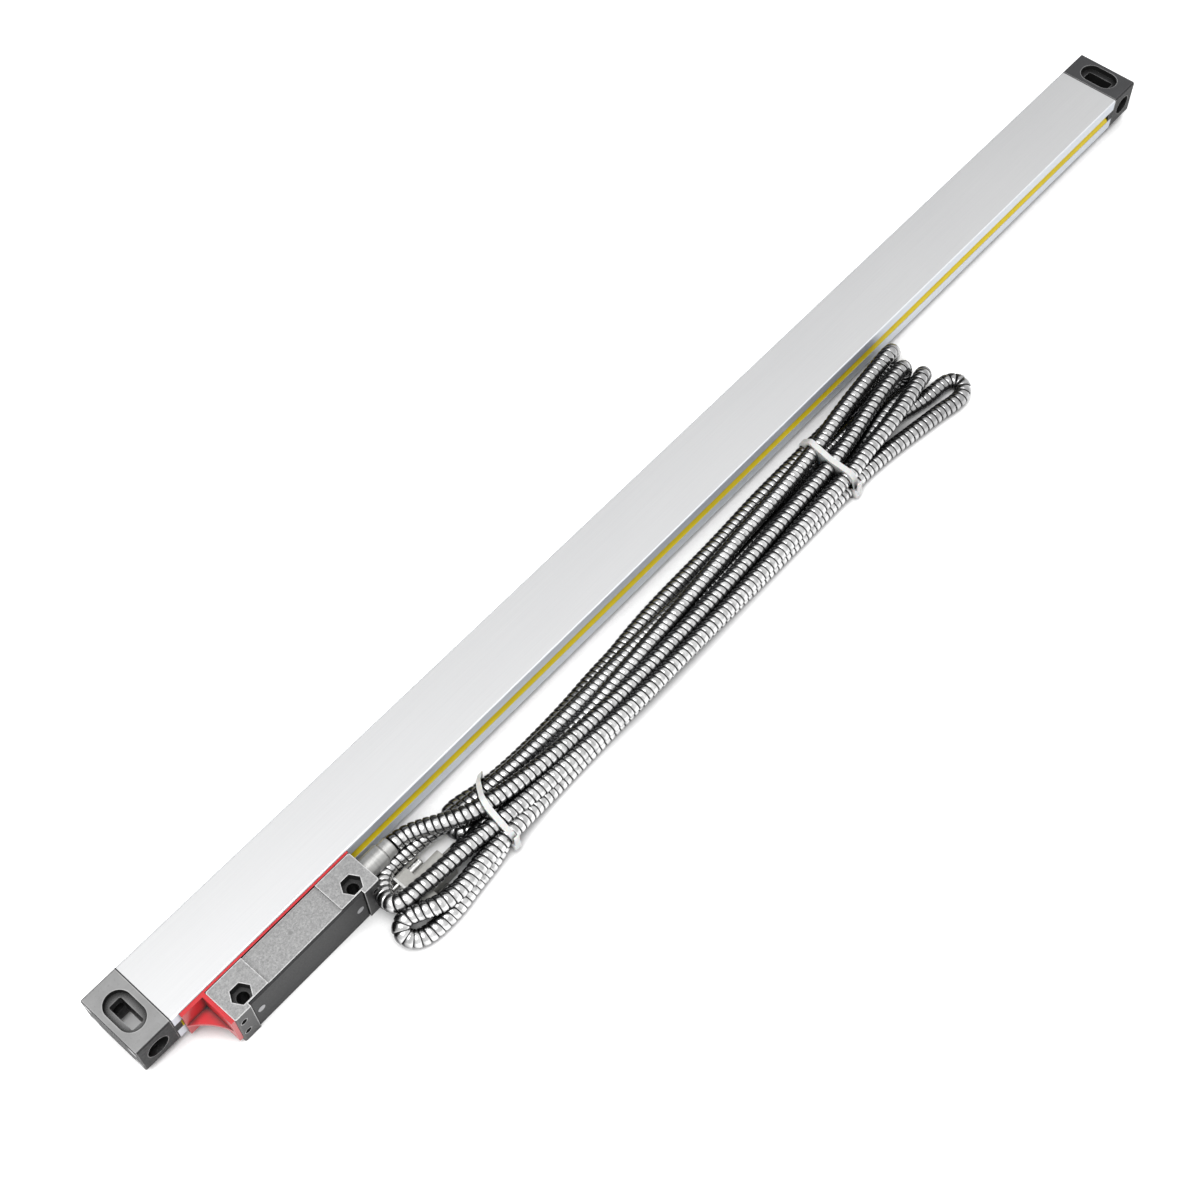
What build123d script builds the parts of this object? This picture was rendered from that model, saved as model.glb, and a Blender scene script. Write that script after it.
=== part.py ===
from build123d import *
from math import pi
import os

# Enclosed linear glass scale, in millimetres.
# +X runs along the housing, the read head stands on the -Y side, +Z is up.
# The origin is the middle of the scale's box, at the height of the head's underside.

# Housing
total_length = 690.0
body_width = 33.0
body_height = 19.0
body_corner = 0.8
body_lift = 4.0
wall = 2.0
back_wall = 2.4
lip_depth = 6.0
slot_height = 6.0
seal_groove_front = 2.2
seal_groove_width = 2.0
seal_groove_depth = 1.2
port_diameter = 2.5
port_wall = 1.15
port_inset_front = 3.2
port_inset_back = 3.6
port_inset_side = 3.1

# End caps
cap_length = 17.5
cap_corner = 1.0
gasket_thickness = 0.5
cap_pocket_length = 20.0
cap_pocket_width = 12.0
cap_pocket_depth = 3.0
cap_slot_length = 14.0
cap_slot_width = 6.0
cap_slot_corner = 0.8
side_hole_diameter = 5.5
side_bore_diameter = 10.0
side_bore_depth = 5.0
tongue_length = 3.0
tongue_play = 0.1
cap_screw_diameter = 2.4
cap_screw_head = 4.6
cap_screw_length = 12.0
cap_screw_play = 0.2

# Lip seals
seal_thickness = 0.7
seal_front_upper = 0.6
seal_front_lower = 0.2
seal_tip_upper = 1.4
seal_tip_lower = 2.0
seal_gap = 0.8
seal_play = 0.1

# Glass
glass_end_gap = 35.0
glass_width = 13.0
glass_thickness = 4.0
bond_thickness = 0.8
ledge_depth = 4.0
ledge_thickness = 1.4
ledge_play = 0.1

# Read head
head_length = 78.0
head_start = 73.0
head_gap = 1.6
head_reach = 19.0
head_pad = 19.0
head_step = 0.6
head_corner = 0.8
bolt_spacing = 60.0
bolt_inset = 12.4
bolt_hole_diameter = 5.3
nut_flats = 8.2
nut_depth = 4.5
tap_spacing_x = 72.0
tap_spacing_z = 9.5
tap_diameter = 2.9
tap_depth = 6.0
cover_length = 61.0
cover_thickness = 1.15
cover_recess = 0.7
cover_play = 0.3
head_cavity_length = 47.0
head_cavity_height = 16.0
head_back_wall = 2.4
cover_screw_spacing = 54.4
cover_screw_diameter = 2.0
cover_screw_head = 3.6
cover_screw_length = 1.8
board_length = 44.0
board_height = 13.0
board_thickness = 1.2
board_post = 5.2
board_screw_spacing = 39.0
board_screw_drop = 3.5
board_screw_diameter = 1.6

# Blade and lead through the slot
blade_width = 30.0
blade_thickness = 0.4
blade_foot = 5.0
blade_screw_spacing = 20.0
lead_x = -10.0
lead_width = 8.0
lead_thickness = 0.12
wire_diameter = 1.0
wire_length = 39.0
wire_depth = 1.5
wire_play = 0.02
curl_width = 24.0
curl_wall = 0.4

# Carriage
carriage_length = 74.0
carriage_lip_gap = 1.2
carriage_ledge_gap = 1.0
carriage_glass_gap = 1.3
carriage_wall_gap = 0.6
carriage_throat = 5.4
bearing_diameter = 5.0
bearing_width = 2.3
bearing_bore = 2.0
bearing_split = 3.9
bearing_play = 0.05
bearing_side_play = 0.25
roll_gap = 0.05
face_bearing_spread = 28.0
face_bearing_outer_inset = 2.4
face_bearing_inner_inset = 6.0
edge_bearing_spread = 20.0
pocket_play = 0.55
pin_length = 4.8
optic_x = -13.0
optic_back_inset = 5.2
optic_play = 0.1
reticle_length = 12.0
reticle_width = 8.0
reticle_thickness = 1.1
reticle_gap = 0.15
detector_length = 17.0
detector_width = 8.6
detector_thickness = 0.8
sensor_length = 8.0
sensor_width = 5.0
sensor_thickness = 1.2
lamp_board_length = 17.0
lamp_board_width = 8.0
lamp_diameter = 4.0
lamp_height = 2.6
lamp_sink = 0.4
lamp_lead_width = 3.0

# Cable
exit_inset = 8.0
exit_height = 13.0
gland_diameter = 10.0
gland_length = 11.5
gland_thread = 7.0
gland_thread_length = 4.6
ferrule_diameter = 8.6
ferrule_length = 4.5
ferrule_bore = 5.0
gland_groove = 0.4
core_inset = 12.0
hose_diameter = 7.0
core_diameter = 2.2
core_play = 0.1
hank_height = 13.8
hank_round = 2.5
tie_near_reach = 44.0
tie_far_reach = 274.0
tie_width = 2.8
tie_thickness = 1.1

# Connector
plug_reach = 12.0
plug_y = -34.5
hood_length = 20.0
hose_play = 0.3
entry_room = 12.0
plug_room = 60.0
lead_room = 80.0
lead_room_depth = 20.5
lead_room_start = 8.0
hood_width = 11.6
hood_height = 9.2
hood_ear_length = 6.0
hood_ear_width = 21.0
hood_neck_length = 4.5
hood_neck_diameter = 7.6
flange_thickness = 1.2
shell_width = 11.6
shell_height = 5.4
shell_length = 5.2
shell_wall = 0.4
insert_play = 0.05
thumb_spread = 8.3
thumb_diameter = 2.2
thumb_knob = 4.2
thumb_knob_length = 7.0
thumb_tip_length = 4.0
thumb_play = 0.06

# Transport bracket
bracket_wall = 1.8
bracket_gap = 0.3
bracket_reach = 12.4
bracket_strip = 1.0
bracket_web = 1.6
bracket_web_height = 12.2
bracket_sag = 1.2
bracket_end_inset = 1.4
bracket_foot_inset = 0.4
bracket_prong_gap = 2.4

# Places that follow from the sizes
front_y = (head_reach - body_width) / 2
back_y = front_y + body_width
mid_z = body_lift + body_height / 2
head_height = body_lift + body_height
extrusion_length = total_length - 2 * cap_length - 2 * gasket_thickness
glass_length = total_length - 2 * glass_end_gap
head_centre = head_start - total_length / 2
glass_back = body_width - back_wall - bond_thickness
glass_front = glass_back - glass_width
carriage_front = lip_depth + carriage_lip_gap
carriage_back = body_width - back_wall - ledge_depth - carriage_ledge_gap
carriage_depth = carriage_back - carriage_front
carriage_height = body_height - 2 * wall - 2 * carriage_wall_gap
web_back = glass_front - carriage_glass_gap
wire_inset = carriage_front + wire_depth
optic_inset = carriage_back - optic_back_inset
face_bearing_outer = carriage_back - face_bearing_outer_inset
face_bearing_inner = carriage_back - face_bearing_inner_inset
head_face_y = front_y - head_gap
head_outer_y = front_y - head_reach
head_mid_z = head_height / 2
head_near_x = head_centre - head_length / 2
head_far_x = head_centre + head_length / 2
cavity_back_y = head_face_y - head_back_wall
cover_face_y = head_outer_y + cover_recess
cover_seat_y = cover_face_y + cover_thickness
board_back_y = cavity_back_y - board_post
blade_bottom = -(blade_thickness + lead_thickness) / 2
blade_top = blade_bottom + blade_thickness
lead_top = blade_top + lead_thickness
board_screw_places = [
    (-board_screw_spacing / 2, -board_screw_drop),
    (board_screw_spacing / 2, -board_screw_drop),
]
exit_y = front_y - exit_inset
exit_x = head_far_x + gland_length + ferrule_length
tie_near_x = exit_x + tie_near_reach
tie_far_x = exit_x + tie_far_reach
plug_x = exit_x + plug_reach
cap_middle_x = total_length / 2 - cap_length / 2
pocket_y = front_y + body_width / 2

# Sections are drawn looking along +X: right is +Y from the housing's front face,
# up is +Z from the middle of the housing's height.
section = Plane(origin=(0, front_y, mid_z), x_dir=(0, 1, 0), z_dir=(1, 0, 0))
carriage_section = Plane(origin=(head_centre, front_y, mid_z), x_dir=(0, 1, 0), z_dir=(1, 0, 0))
# Faces seen from the front: right is +X, up is +Z, outwards is -Y.
head_front = Plane(origin=(head_centre, 0, head_mid_z), x_dir=(1, 0, 0), z_dir=(0, -1, 0))
port_places = [
    (port_inset_front, body_height / 2 - port_inset_side),
    (port_inset_front, -body_height / 2 + port_inset_side),
    (body_width - port_inset_back, body_height / 2 - port_inset_side),
    (body_width - port_inset_back, -body_height / 2 + port_inset_side),
]

# Extruded housing: a channel whose front lips leave the slot, with seal grooves in the lips,
# a ledge for the glass on the back wall and a screw port in each corner.
cavity_depth = body_width - back_wall - lip_depth
cavity_height = body_height - 2 * wall
ledge_gap = glass_thickness + 2 * ledge_play
with BuildPart() as housing:
    with BuildSketch(section) as housing_profile:
        with Locations((body_width / 2, 0)):
            RectangleRounded(body_width, body_height, body_corner)
        with Locations((lip_depth, 0)):
            Rectangle(cavity_depth, cavity_height, align=(Align.MIN, Align.CENTER), mode=Mode.SUBTRACT)
        Rectangle(lip_depth + wall, slot_height, align=(Align.MIN, Align.CENTER), mode=Mode.SUBTRACT)
        with Locations((seal_groove_front, 0)):
            Rectangle(
                seal_groove_width,
                slot_height + 2 * seal_groove_depth,
                align=(Align.MIN, Align.CENTER),
                mode=Mode.SUBTRACT,
            )
        with Locations((body_width - back_wall, ledge_gap / 2), (body_width - back_wall, -ledge_gap / 2)):
            Rectangle(ledge_depth, 2 * ledge_thickness, align=(Align.MAX, Align.CENTER))
        with Locations((body_width - back_wall, 0)):
            Rectangle(ledge_depth, ledge_gap, align=(Align.MAX, Align.CENTER), mode=Mode.SUBTRACT)
        with Locations(port_places[2:]):
            Circle(port_diameter / 2 + port_wall)
        with Locations(port_places):
            Circle(port_diameter / 2, mode=Mode.SUBTRACT)
    extrude(amount=extrusion_length / 2, both=True)
housing.part.label = "extrusion_housing"

# Lip seals: a foot in the lip's groove and a blade that leans inwards to the middle of the slot.
seal_length = extrusion_length - 2 * (tongue_length + tongue_play)
groove_middle = seal_groove_front + seal_groove_width / 2
groove_top = slot_height / 2 + seal_groove_depth
seals = []
for side, front, tip in ((1, seal_front_upper, seal_tip_upper), (-1, seal_front_lower, seal_tip_lower)):
    with BuildPart() as seal:
        with BuildSketch(section):
            with Locations((groove_middle, side * (groove_top - seal_play))):
                Rectangle(
                    seal_groove_width - 2 * seal_play,
                    groove_top - seal_play - slot_height / 2 + seal_thickness,
                    align=(Align.CENTER, Align.MAX if side > 0 else Align.MIN),
                )
            with BuildLine():
                Polyline(
                    (front, side * (slot_height / 2 - seal_play)),
                    (groove_middle, side * (slot_height / 2 - seal_play)),
                    (groove_middle, side * (slot_height / 2 - seal_thickness)),
                    (tip + seal_thickness, side * seal_gap / 2),
                    (tip, side * seal_gap / 2),
                    close=True,
                )
            make_face()
        extrude(amount=seal_length / 2, both=True)
    seals.append(seal.part)
seals[0].label = "lip_seal_upper"
seals[1].label = "lip_seal_lower"

# Glass scale in the ledge, on its bonding strip.
with BuildPart() as glass:
    with BuildSketch(section):
        with Locations((glass_front, 0)):
            Rectangle(glass_width, glass_thickness, align=(Align.MIN, Align.CENTER))
    extrude(amount=glass_length / 2, both=True)
    chamfer(glass.edges().filter_by(Axis.X), length=0.3)
glass.part.label = "glass_scale"

with BuildPart() as bond:
    with BuildSketch(section):
        with Locations((glass_back, 0)):
            Rectangle(bond_thickness, glass_thickness, align=(Align.MIN, Align.CENTER))
    extrude(amount=glass_length / 2, both=True)
bond.part.label = "glass_bonding_strip"

# End caps: a die-cast block with a stepped slot from the top, a counterbored hole from the
# front, a tongue that closes the slot of the housing and four countersunk screw holes.
caps = []
gaskets = []
for end, name in ((-1, "near"), (1, "far")):
    inner = Plane(
        origin=(end * (total_length / 2 - cap_length), front_y, mid_z), x_dir=(0, 1, 0), z_dir=(1, 0, 0)
    )
    outer = inner.offset(end * cap_length)
    cap_top = Plane(origin=(end * cap_middle_x, pocket_y, mid_z + body_height / 2))
    cap_front = Plane(origin=(end * cap_middle_x, front_y, mid_z), x_dir=(1, 0, 0), z_dir=(0, -1, 0))
    with BuildPart() as cap:
        with BuildSketch(inner):
            with Locations((body_width / 2, 0)):
                RectangleRounded(body_width, body_height, cap_corner)
        extrude(amount=end * cap_length)
        chamfer(cap.faces().sort_by(Axis.X)[-1 if end > 0 else 0].edges(), length=0.4)
        with BuildSketch(inner):
            with Locations((tongue_play, 0)):
                Rectangle(
                    lip_depth - tongue_play,
                    slot_height - 2 * tongue_play,
                    align=(Align.MIN, Align.CENTER),
                )
        extrude(amount=-end * (gasket_thickness + tongue_length), taper=3)
        with BuildSketch(cap_top):
            SlotOverall(cap_pocket_length, cap_pocket_width, rotation=90)
        extrude(amount=-cap_pocket_depth, mode=Mode.SUBTRACT)
        with BuildSketch(cap_top):
            RectangleRounded(cap_slot_width, cap_slot_length, cap_slot_corner)
        extrude(amount=-body_height, mode=Mode.SUBTRACT)
        with BuildSketch(cap_front):
            Circle(side_bore_diameter / 2)
        extrude(amount=-side_bore_depth, mode=Mode.SUBTRACT)
        with BuildSketch(cap_front):
            Circle(side_hole_diameter / 2)
        extrude(amount=-body_width, mode=Mode.SUBTRACT)
        with BuildSketch(outer):
            with Locations(port_places):
                Circle(cap_screw_diameter / 2 + cap_screw_play)
        extrude(amount=-end * cap_length, mode=Mode.SUBTRACT)
        with BuildSketch(outer):
            with Locations(port_places):
                Circle(cap_screw_head / 2 + cap_screw_play)
        extrude(
            amount=-end * (cap_screw_head - cap_screw_diameter) / 2, taper=45, mode=Mode.SUBTRACT
        )
    cap.part.label = "end_cap_" + name
    caps.append(cap.part)
    with BuildPart() as gasket:
        with BuildSketch(inner):
            with Locations((body_width / 2, 0)):
                RectangleRounded(body_width, body_height, body_corner)
            Rectangle(
                lip_depth + wall, slot_height, align=(Align.MIN, Align.CENTER), mode=Mode.SUBTRACT
            )
            with Locations(port_places):
                Circle(cap_screw_diameter / 2 + cap_screw_play, mode=Mode.SUBTRACT)
        extrude(amount=-end * gasket_thickness)
    gasket.part.label = "end_gasket_" + name
    gaskets.append(gasket.part)

# Countersunk cap screws, which cut their thread in the housing's corner ports.
with BuildPart() as cap_screws:
    for end in (-1, 1):
        seat = Plane(
            origin=(end * total_length / 2, front_y, mid_z), x_dir=(0, 1, 0), z_dir=(1, 0, 0)
        )
        with BuildSketch(seat):
            with Locations(port_places):
                Circle(cap_screw_diameter / 2)
        extrude(amount=-end * (cap_length + cap_screw_length))
        with BuildSketch(seat):
            with Locations(port_places):
                Circle(cap_screw_head / 2)
        extrude(amount=-end * (cap_screw_head - cap_screw_diameter) / 2, taper=45)
cap_screws.part.label = "end_cap_screws"

# Read head housing: two bolt pads, a lower middle that carries the cover, the board's cavity
# with its posts, and the tapped holes in the ends.
head_block_y = (head_face_y + head_outer_y) / 2
head_block_width = head_face_y - head_outer_y
cavity_depth_y = cavity_back_y - cover_seat_y
head_top = Plane(origin=(head_centre, head_block_y, head_height))
head_bolts = Plane(origin=(head_centre, front_y - bolt_inset, head_height))
slit_half = max(abs(blade_bottom), lead_top) + 0.15
with BuildPart() as head:
    with BuildSketch(Plane(origin=(head_centre, head_block_y, 0))):
        Rectangle(head_length, head_block_width)
    extrude(amount=head_height)
    fillet(head.edges().filter_by(Axis.Z), radius=head_corner)
    with BuildSketch(head_top):
        Rectangle(head_length - 2 * head_pad, head_block_width)
    extrude(amount=-head_step, mode=Mode.SUBTRACT)
    with BuildSketch(head_front.offset(-head_outer_y)):
        Rectangle(cover_length + 2 * cover_play, head_height)
    extrude(amount=-(cover_recess + cover_thickness), mode=Mode.SUBTRACT)
    with BuildSketch(head_front.offset(-cover_seat_y)):
        RectangleRounded(head_cavity_length, head_cavity_height, 2)
    extrude(amount=-cavity_depth_y, mode=Mode.SUBTRACT)
    with BuildSketch(head_front.offset(-cavity_back_y)):
        with Locations(board_screw_places):
            Circle(2)
            Circle(board_screw_diameter / 2, mode=Mode.SUBTRACT)
    extrude(amount=board_post)
    with BuildSketch(head_front.offset(-cover_seat_y)):
        with Locations((-cover_screw_spacing / 2, 0), (cover_screw_spacing / 2, 0)):
            Circle(cover_screw_diameter / 2)
    extrude(amount=-cover_screw_length, mode=Mode.SUBTRACT)
    with BuildSketch(head_front.offset(-head_outer_y)):
        with GridLocations(tap_spacing_x, tap_spacing_z, 2, 2):
            Circle(tap_diameter / 2)
    extrude(amount=-tap_depth, mode=Mode.SUBTRACT)
    with BuildSketch(head_bolts):
        with GridLocations(bolt_spacing, 1, 2, 1):
            RegularPolygon(nut_flats / 2, 6, major_radius=False, rotation=0)
    extrude(amount=-nut_depth, mode=Mode.SUBTRACT)
    with BuildSketch(head_bolts):
        with GridLocations(bolt_spacing, 1, 2, 1):
            Circle(bolt_hole_diameter / 2)
    extrude(amount=-head_height, mode=Mode.SUBTRACT)
    with BuildSketch(carriage_section):
        with Locations((-head_gap, 0)):
            Rectangle(head_back_wall, 2 * slit_half, align=(Align.MAX, Align.CENTER))
    extrude(amount=blade_width / 2 + 0.3, both=True, mode=Mode.SUBTRACT)
    with BuildSketch(Plane(origin=(head_far_x, exit_y, exit_height), x_dir=(0, 1, 0), z_dir=(1, 0, 0))):
        Circle(gland_thread / 2)
    extrude(amount=-gland_thread_length, mode=Mode.SUBTRACT)
    with BuildSketch(Plane(origin=(head_far_x, exit_y, exit_height), x_dir=(0, 1, 0), z_dir=(1, 0, 0))):
        Circle(core_diameter / 2 + core_play)
    extrude(amount=-(head_length - head_cavity_length) / 2, mode=Mode.SUBTRACT)
head.part.label = "head_housing"

with BuildPart() as cover:
    with BuildSketch(head_front.offset(-cover_seat_y)):
        with Locations((0, -head_step / 2)):
            Rectangle(cover_length, head_height - head_step)
    extrude(amount=cover_thickness)
    chamfer(cover.faces().sort_by(Axis.Y)[0].edges(), length=0.2)
    with BuildSketch(head_front.offset(-cover_face_y)):
        with Locations((-cover_screw_spacing / 2, 0), (cover_screw_spacing / 2, 0)):
            Circle(cover_screw_head / 2 + 0.1)
    extrude(amount=-cover_thickness, taper=35, mode=Mode.SUBTRACT)
cover.part.label = "head_cover"

with BuildPart() as cover_screws:
    with BuildSketch(head_front.offset(-cover_face_y)):
        with Locations((-cover_screw_spacing / 2, 0), (cover_screw_spacing / 2, 0)):
            Circle(cover_screw_head / 2)
    extrude(amount=-cover_thickness, taper=35)
    with BuildSketch(head_front.offset(-cover_seat_y)):
        with Locations((-cover_screw_spacing / 2, 0), (cover_screw_spacing / 2, 0)):
            Circle(cover_screw_diameter / 2)
    extrude(amount=-cover_screw_length)
cover_screws.part.label = "cover_screws"

# Head circuit board on its posts, with its cable header, and the two screws that hold it.
with BuildPart() as board:
    with BuildSketch(head_front.offset(-board_back_y)):
        RectangleRounded(board_length, board_height, 1)
        with Locations(board_screw_places):
            Circle(board_screw_diameter / 2 + 0.1, mode=Mode.SUBTRACT)
    extrude(amount=board_thickness)
    with BuildSketch(head_front.offset(-board_back_y + board_thickness)):
        with Locations((-6, 0)):
            Rectangle(7, 5)
        with Locations((6, 1)):
            Rectangle(5, 4)
    extrude(amount=1.4)
board.part.label = "head_circuit_board"

with BuildPart() as board_screws:
    with BuildSketch(head_front.offset(-board_back_y)):
        with Locations(board_screw_places):
            Circle(board_screw_diameter / 2)
    extrude(amount=board_thickness)
    extrude(board_screws.faces().sort_by(Axis.Y)[-2:], amount=board_post - 1)
    with BuildSketch(head_front.offset(-board_back_y + board_thickness)):
        with Locations(board_screw_places):
            Circle(board_screw_diameter)
    extrude(amount=1.1)
board_screws.part.label = "board_screws"

# Coupling blade: a bent spring-steel sheet screwed inside the head, its inner edge curled
# round the coupling wire. The wire's ends sit in the carriage.
blade_back = -head_gap - head_back_wall
curl_radius = wire_diameter / 2 + wire_play + curl_wall
curl_centre = blade_bottom + curl_radius
with BuildPart() as blade:
    with BuildSketch(carriage_section):
        with Locations((blade_back - blade_thickness, blade_bottom)):
            Rectangle(
                wire_inset - blade_back + blade_thickness, blade_thickness, align=(Align.MIN, Align.MIN)
            )
        with Locations((blade_back, blade_top)):
            Rectangle(blade_thickness, blade_foot + blade_thickness, align=(Align.MAX, Align.MAX))
    extrude(amount=curl_width / 2, both=True)
    with BuildSketch(carriage_section):
        with Locations((blade_back - blade_thickness, blade_bottom)):
            Rectangle(lip_depth - blade_back, blade_thickness, align=(Align.MIN, Align.MIN))
        with Locations((blade_back, blade_top)):
            Rectangle(blade_thickness, blade_foot + blade_thickness, align=(Align.MAX, Align.MAX))
    extrude(amount=blade_width / 2, both=True)
    with BuildSketch(carriage_section):
        with Locations((wire_inset, curl_centre)):
            Circle(curl_radius)
    extrude(amount=curl_width / 2, both=True)
    with BuildSketch(carriage_section):
        with Locations((wire_inset, curl_centre)):
            Circle(wire_diameter / 2 + wire_play)
    extrude(amount=curl_width / 2, both=True, mode=Mode.SUBTRACT)
    with BuildSketch(head_front.offset(-cavity_back_y)):
        with Locations(
            (-blade_screw_spacing / 2, mid_z - head_mid_z - blade_foot / 2),
            (blade_screw_spacing / 2, mid_z - head_mid_z - blade_foot / 2),
        ):
            Circle(0.8)
    extrude(amount=blade_thickness, mode=Mode.SUBTRACT)
blade.part.label = "coupling_blade"

with BuildPart() as blade_screws:
    with BuildSketch(head_front.offset(-cavity_back_y + blade_thickness)):
        with Locations(
            (-blade_screw_spacing / 2, mid_z - head_mid_z - blade_foot / 2),
            (blade_screw_spacing / 2, mid_z - head_mid_z - blade_foot / 2),
        ):
            Circle(1.5)
    extrude(amount=1.0)
    with BuildSketch(head_front.offset(-cavity_back_y)):
        with Locations(
            (-blade_screw_spacing / 2, mid_z - head_mid_z - blade_foot / 2),
            (blade_screw_spacing / 2, mid_z - head_mid_z - blade_foot / 2),
        ):
            Circle(0.75)
    extrude(amount=blade_thickness)
blade_screws.part.label = "blade_screws"

with BuildPart() as wire:
    with BuildSketch(carriage_section):
        with Locations((wire_inset, curl_centre)):
            Circle(wire_diameter / 2)
    extrude(amount=wire_length / 2, both=True)
wire.part.label = "coupling_wire"

# Carriage: a C-shaped die casting that straddles the glass. Its web carries the two bearings
# that run on the glass edge, its upper arm the three that run on the face and the detector,
# and its lower arm the light source.
half_throat = carriage_throat / 2
half_carriage = carriage_height / 2
face_axis = glass_thickness / 2 + roll_gap + bearing_diameter / 2
edge_axis = glass_front - roll_gap - bearing_diameter / 2
pocket_length = bearing_diameter + 2 * pocket_play
pocket_width = bearing_width + 2 * bearing_side_play
face_bearings = [
    (-face_bearing_spread, face_bearing_outer),
    (0.0, face_bearing_inner),
    (face_bearing_spread, face_bearing_outer),
]
edge_bearings = [-edge_bearing_spread, edge_bearing_spread]
reticle_bottom = glass_thickness / 2 + reticle_gap
reticle_top = reticle_bottom + reticle_thickness
detector_bottom = reticle_top + sensor_thickness
detector_top = detector_bottom + detector_thickness
lamp_board_top = -half_throat - lamp_height - lamp_sink
lamp_board_bottom = lamp_board_top - detector_thickness
channel_start = optic_x - detector_length / 2
channel_end = lead_x + lead_width / 2 + optic_play
channel_width = channel_end - channel_start
lamp_lead_x = channel_start + lamp_lead_width / 2 + optic_play
carriage_plane = Plane(origin=(head_centre, front_y, mid_z))
recess_length = 2 * (edge_bearing_spread - pocket_length / 2 - 0.2)
with BuildPart() as carriage:
    with BuildSketch(carriage_section):
        with Locations((carriage_front, 0)):
            Rectangle(carriage_depth, carriage_height, align=(Align.MIN, Align.CENTER))
        with Locations((web_back, 0)):
            Rectangle(
                carriage_depth, carriage_throat, align=(Align.MIN, Align.CENTER), mode=Mode.SUBTRACT
            )
    extrude(amount=carriage_length / 2, both=True)
    chamfer(carriage.edges().filter_by(Axis.Z).group_by(Axis.Y)[0], length=1.5)
    for x, y in face_bearings:
        with BuildSketch(carriage_plane.offset(half_carriage)):
            with Locations((x, y)):
                Rectangle(pocket_length, pocket_width)
        extrude(amount=-(half_carriage - half_throat), mode=Mode.SUBTRACT)
        with BuildSketch(
            Plane(
                origin=(head_centre + x, front_y + carriage_back, mid_z + face_axis),
                x_dir=(1, 0, 0),
                z_dir=(0, -1, 0),
            )
        ):
            Circle(bearing_bore / 2)
        extrude(amount=carriage_back - y + pin_length / 2, mode=Mode.SUBTRACT)
    for x in edge_bearings:
        with BuildSketch(carriage_plane.offset(-pocket_width / 2)):
            with Locations((x, edge_axis - pocket_length / 2)):
                Rectangle(pocket_length, pocket_length + 1, align=(Align.CENTER, Align.MIN))
        extrude(amount=pocket_width, mode=Mode.SUBTRACT)
        with BuildSketch(carriage_plane.offset(-half_carriage)):
            with Locations((x, edge_axis)):
                Circle(bearing_bore / 2)
        extrude(amount=half_carriage + pin_length / 2, mode=Mode.SUBTRACT)
    with BuildSketch(carriage_plane.offset(half_throat)):
        with Locations((optic_x, optic_inset)):
            Rectangle(reticle_length + 2 * optic_play, reticle_width + 2 * optic_play)
    extrude(amount=reticle_top - half_throat, mode=Mode.SUBTRACT)
    with BuildSketch(carriage_plane.offset(reticle_top)):
        with Locations((optic_x, optic_inset)):
            Rectangle(sensor_length + 2 * optic_play, sensor_width + 2 * optic_play)
    extrude(amount=sensor_thickness, mode=Mode.SUBTRACT)
    with BuildSketch(carriage_plane.offset(detector_bottom)):
        with Locations((optic_x, optic_inset)):
            Rectangle(detector_length + 2 * optic_play, detector_width + 2 * optic_play)
        with Locations((channel_start - optic_play, carriage_front)):
            Rectangle(
                channel_width + 2 * optic_play,
                optic_inset - carriage_front,
                align=(Align.MIN, Align.MIN),
            )
    extrude(amount=half_carriage - detector_bottom, mode=Mode.SUBTRACT)
    with BuildSketch(carriage_plane.offset(-half_carriage)):
        with Locations((optic_x, optic_inset)):
            Rectangle(lamp_board_length + 2 * optic_play, lamp_board_width + 2 * optic_play)
        with Locations((channel_start, carriage_front)):
            Rectangle(
                lamp_lead_width + 2 * optic_play,
                optic_inset - carriage_front,
                align=(Align.MIN, Align.MIN),
            )
    extrude(amount=half_carriage + lamp_board_top, mode=Mode.SUBTRACT)
    with BuildSketch(carriage_plane.offset(lamp_board_top)):
        with Locations((optic_x, optic_inset)):
            Circle(lamp_diameter / 2 + optic_play)
    extrude(amount=-half_throat - lamp_board_top, mode=Mode.SUBTRACT)
    with BuildSketch(
        Plane(
            origin=(head_centre, front_y + carriage_front, mid_z + curl_centre),
            x_dir=(1, 0, 0),
            z_dir=(0, -1, 0),
        )
    ):
        Rectangle(recess_length, 2 * curl_radius + 1.2)
    extrude(amount=-(wire_inset - carriage_front + curl_radius + 0.4), mode=Mode.SUBTRACT)
    with BuildSketch(carriage_section):
        with Locations((wire_inset, curl_centre)):
            Circle(wire_diameter / 2 + wire_play)
    extrude(amount=wire_length / 2, both=True, mode=Mode.SUBTRACT)
carriage.part.label = "carriage_frame"

# Ball bearings: each outer ring turns on its inner ring, which a dowel pin holds.
bearing_places = [
    Plane(
        origin=(head_centre + x, front_y + y, mid_z + face_axis), x_dir=(1, 0, 0), z_dir=(0, 1, 0)
    )
    for x, y in face_bearings
] + [
    Plane(origin=(head_centre + x, front_y + edge_axis, mid_z), x_dir=(1, 0, 0), z_dir=(0, 0, 1))
    for x in edge_bearings
]
outer_rings = []
for number, place in enumerate(bearing_places, start=1):
    with BuildPart() as outer_ring:
        with BuildSketch(place):
            Circle(bearing_diameter / 2)
            Circle(bearing_split / 2 + bearing_play, mode=Mode.SUBTRACT)
        extrude(amount=bearing_width / 2, both=True)
        chamfer(outer_ring.edges().filter_by(GeomType.CIRCLE).sort_by(SortBy.RADIUS)[-2:], length=0.2)
    outer_ring.part.label = "bearing_outer_ring_" + str(number)
    outer_rings.append(outer_ring.part)

with BuildPart() as inner_rings:
    for place in bearing_places:
        with BuildSketch(place):
            Circle(bearing_split / 2)
            Circle(bearing_bore / 2, mode=Mode.SUBTRACT)
        extrude(amount=pocket_width / 2, both=True)
inner_rings.part.label = "bearing_inner_rings"

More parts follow.
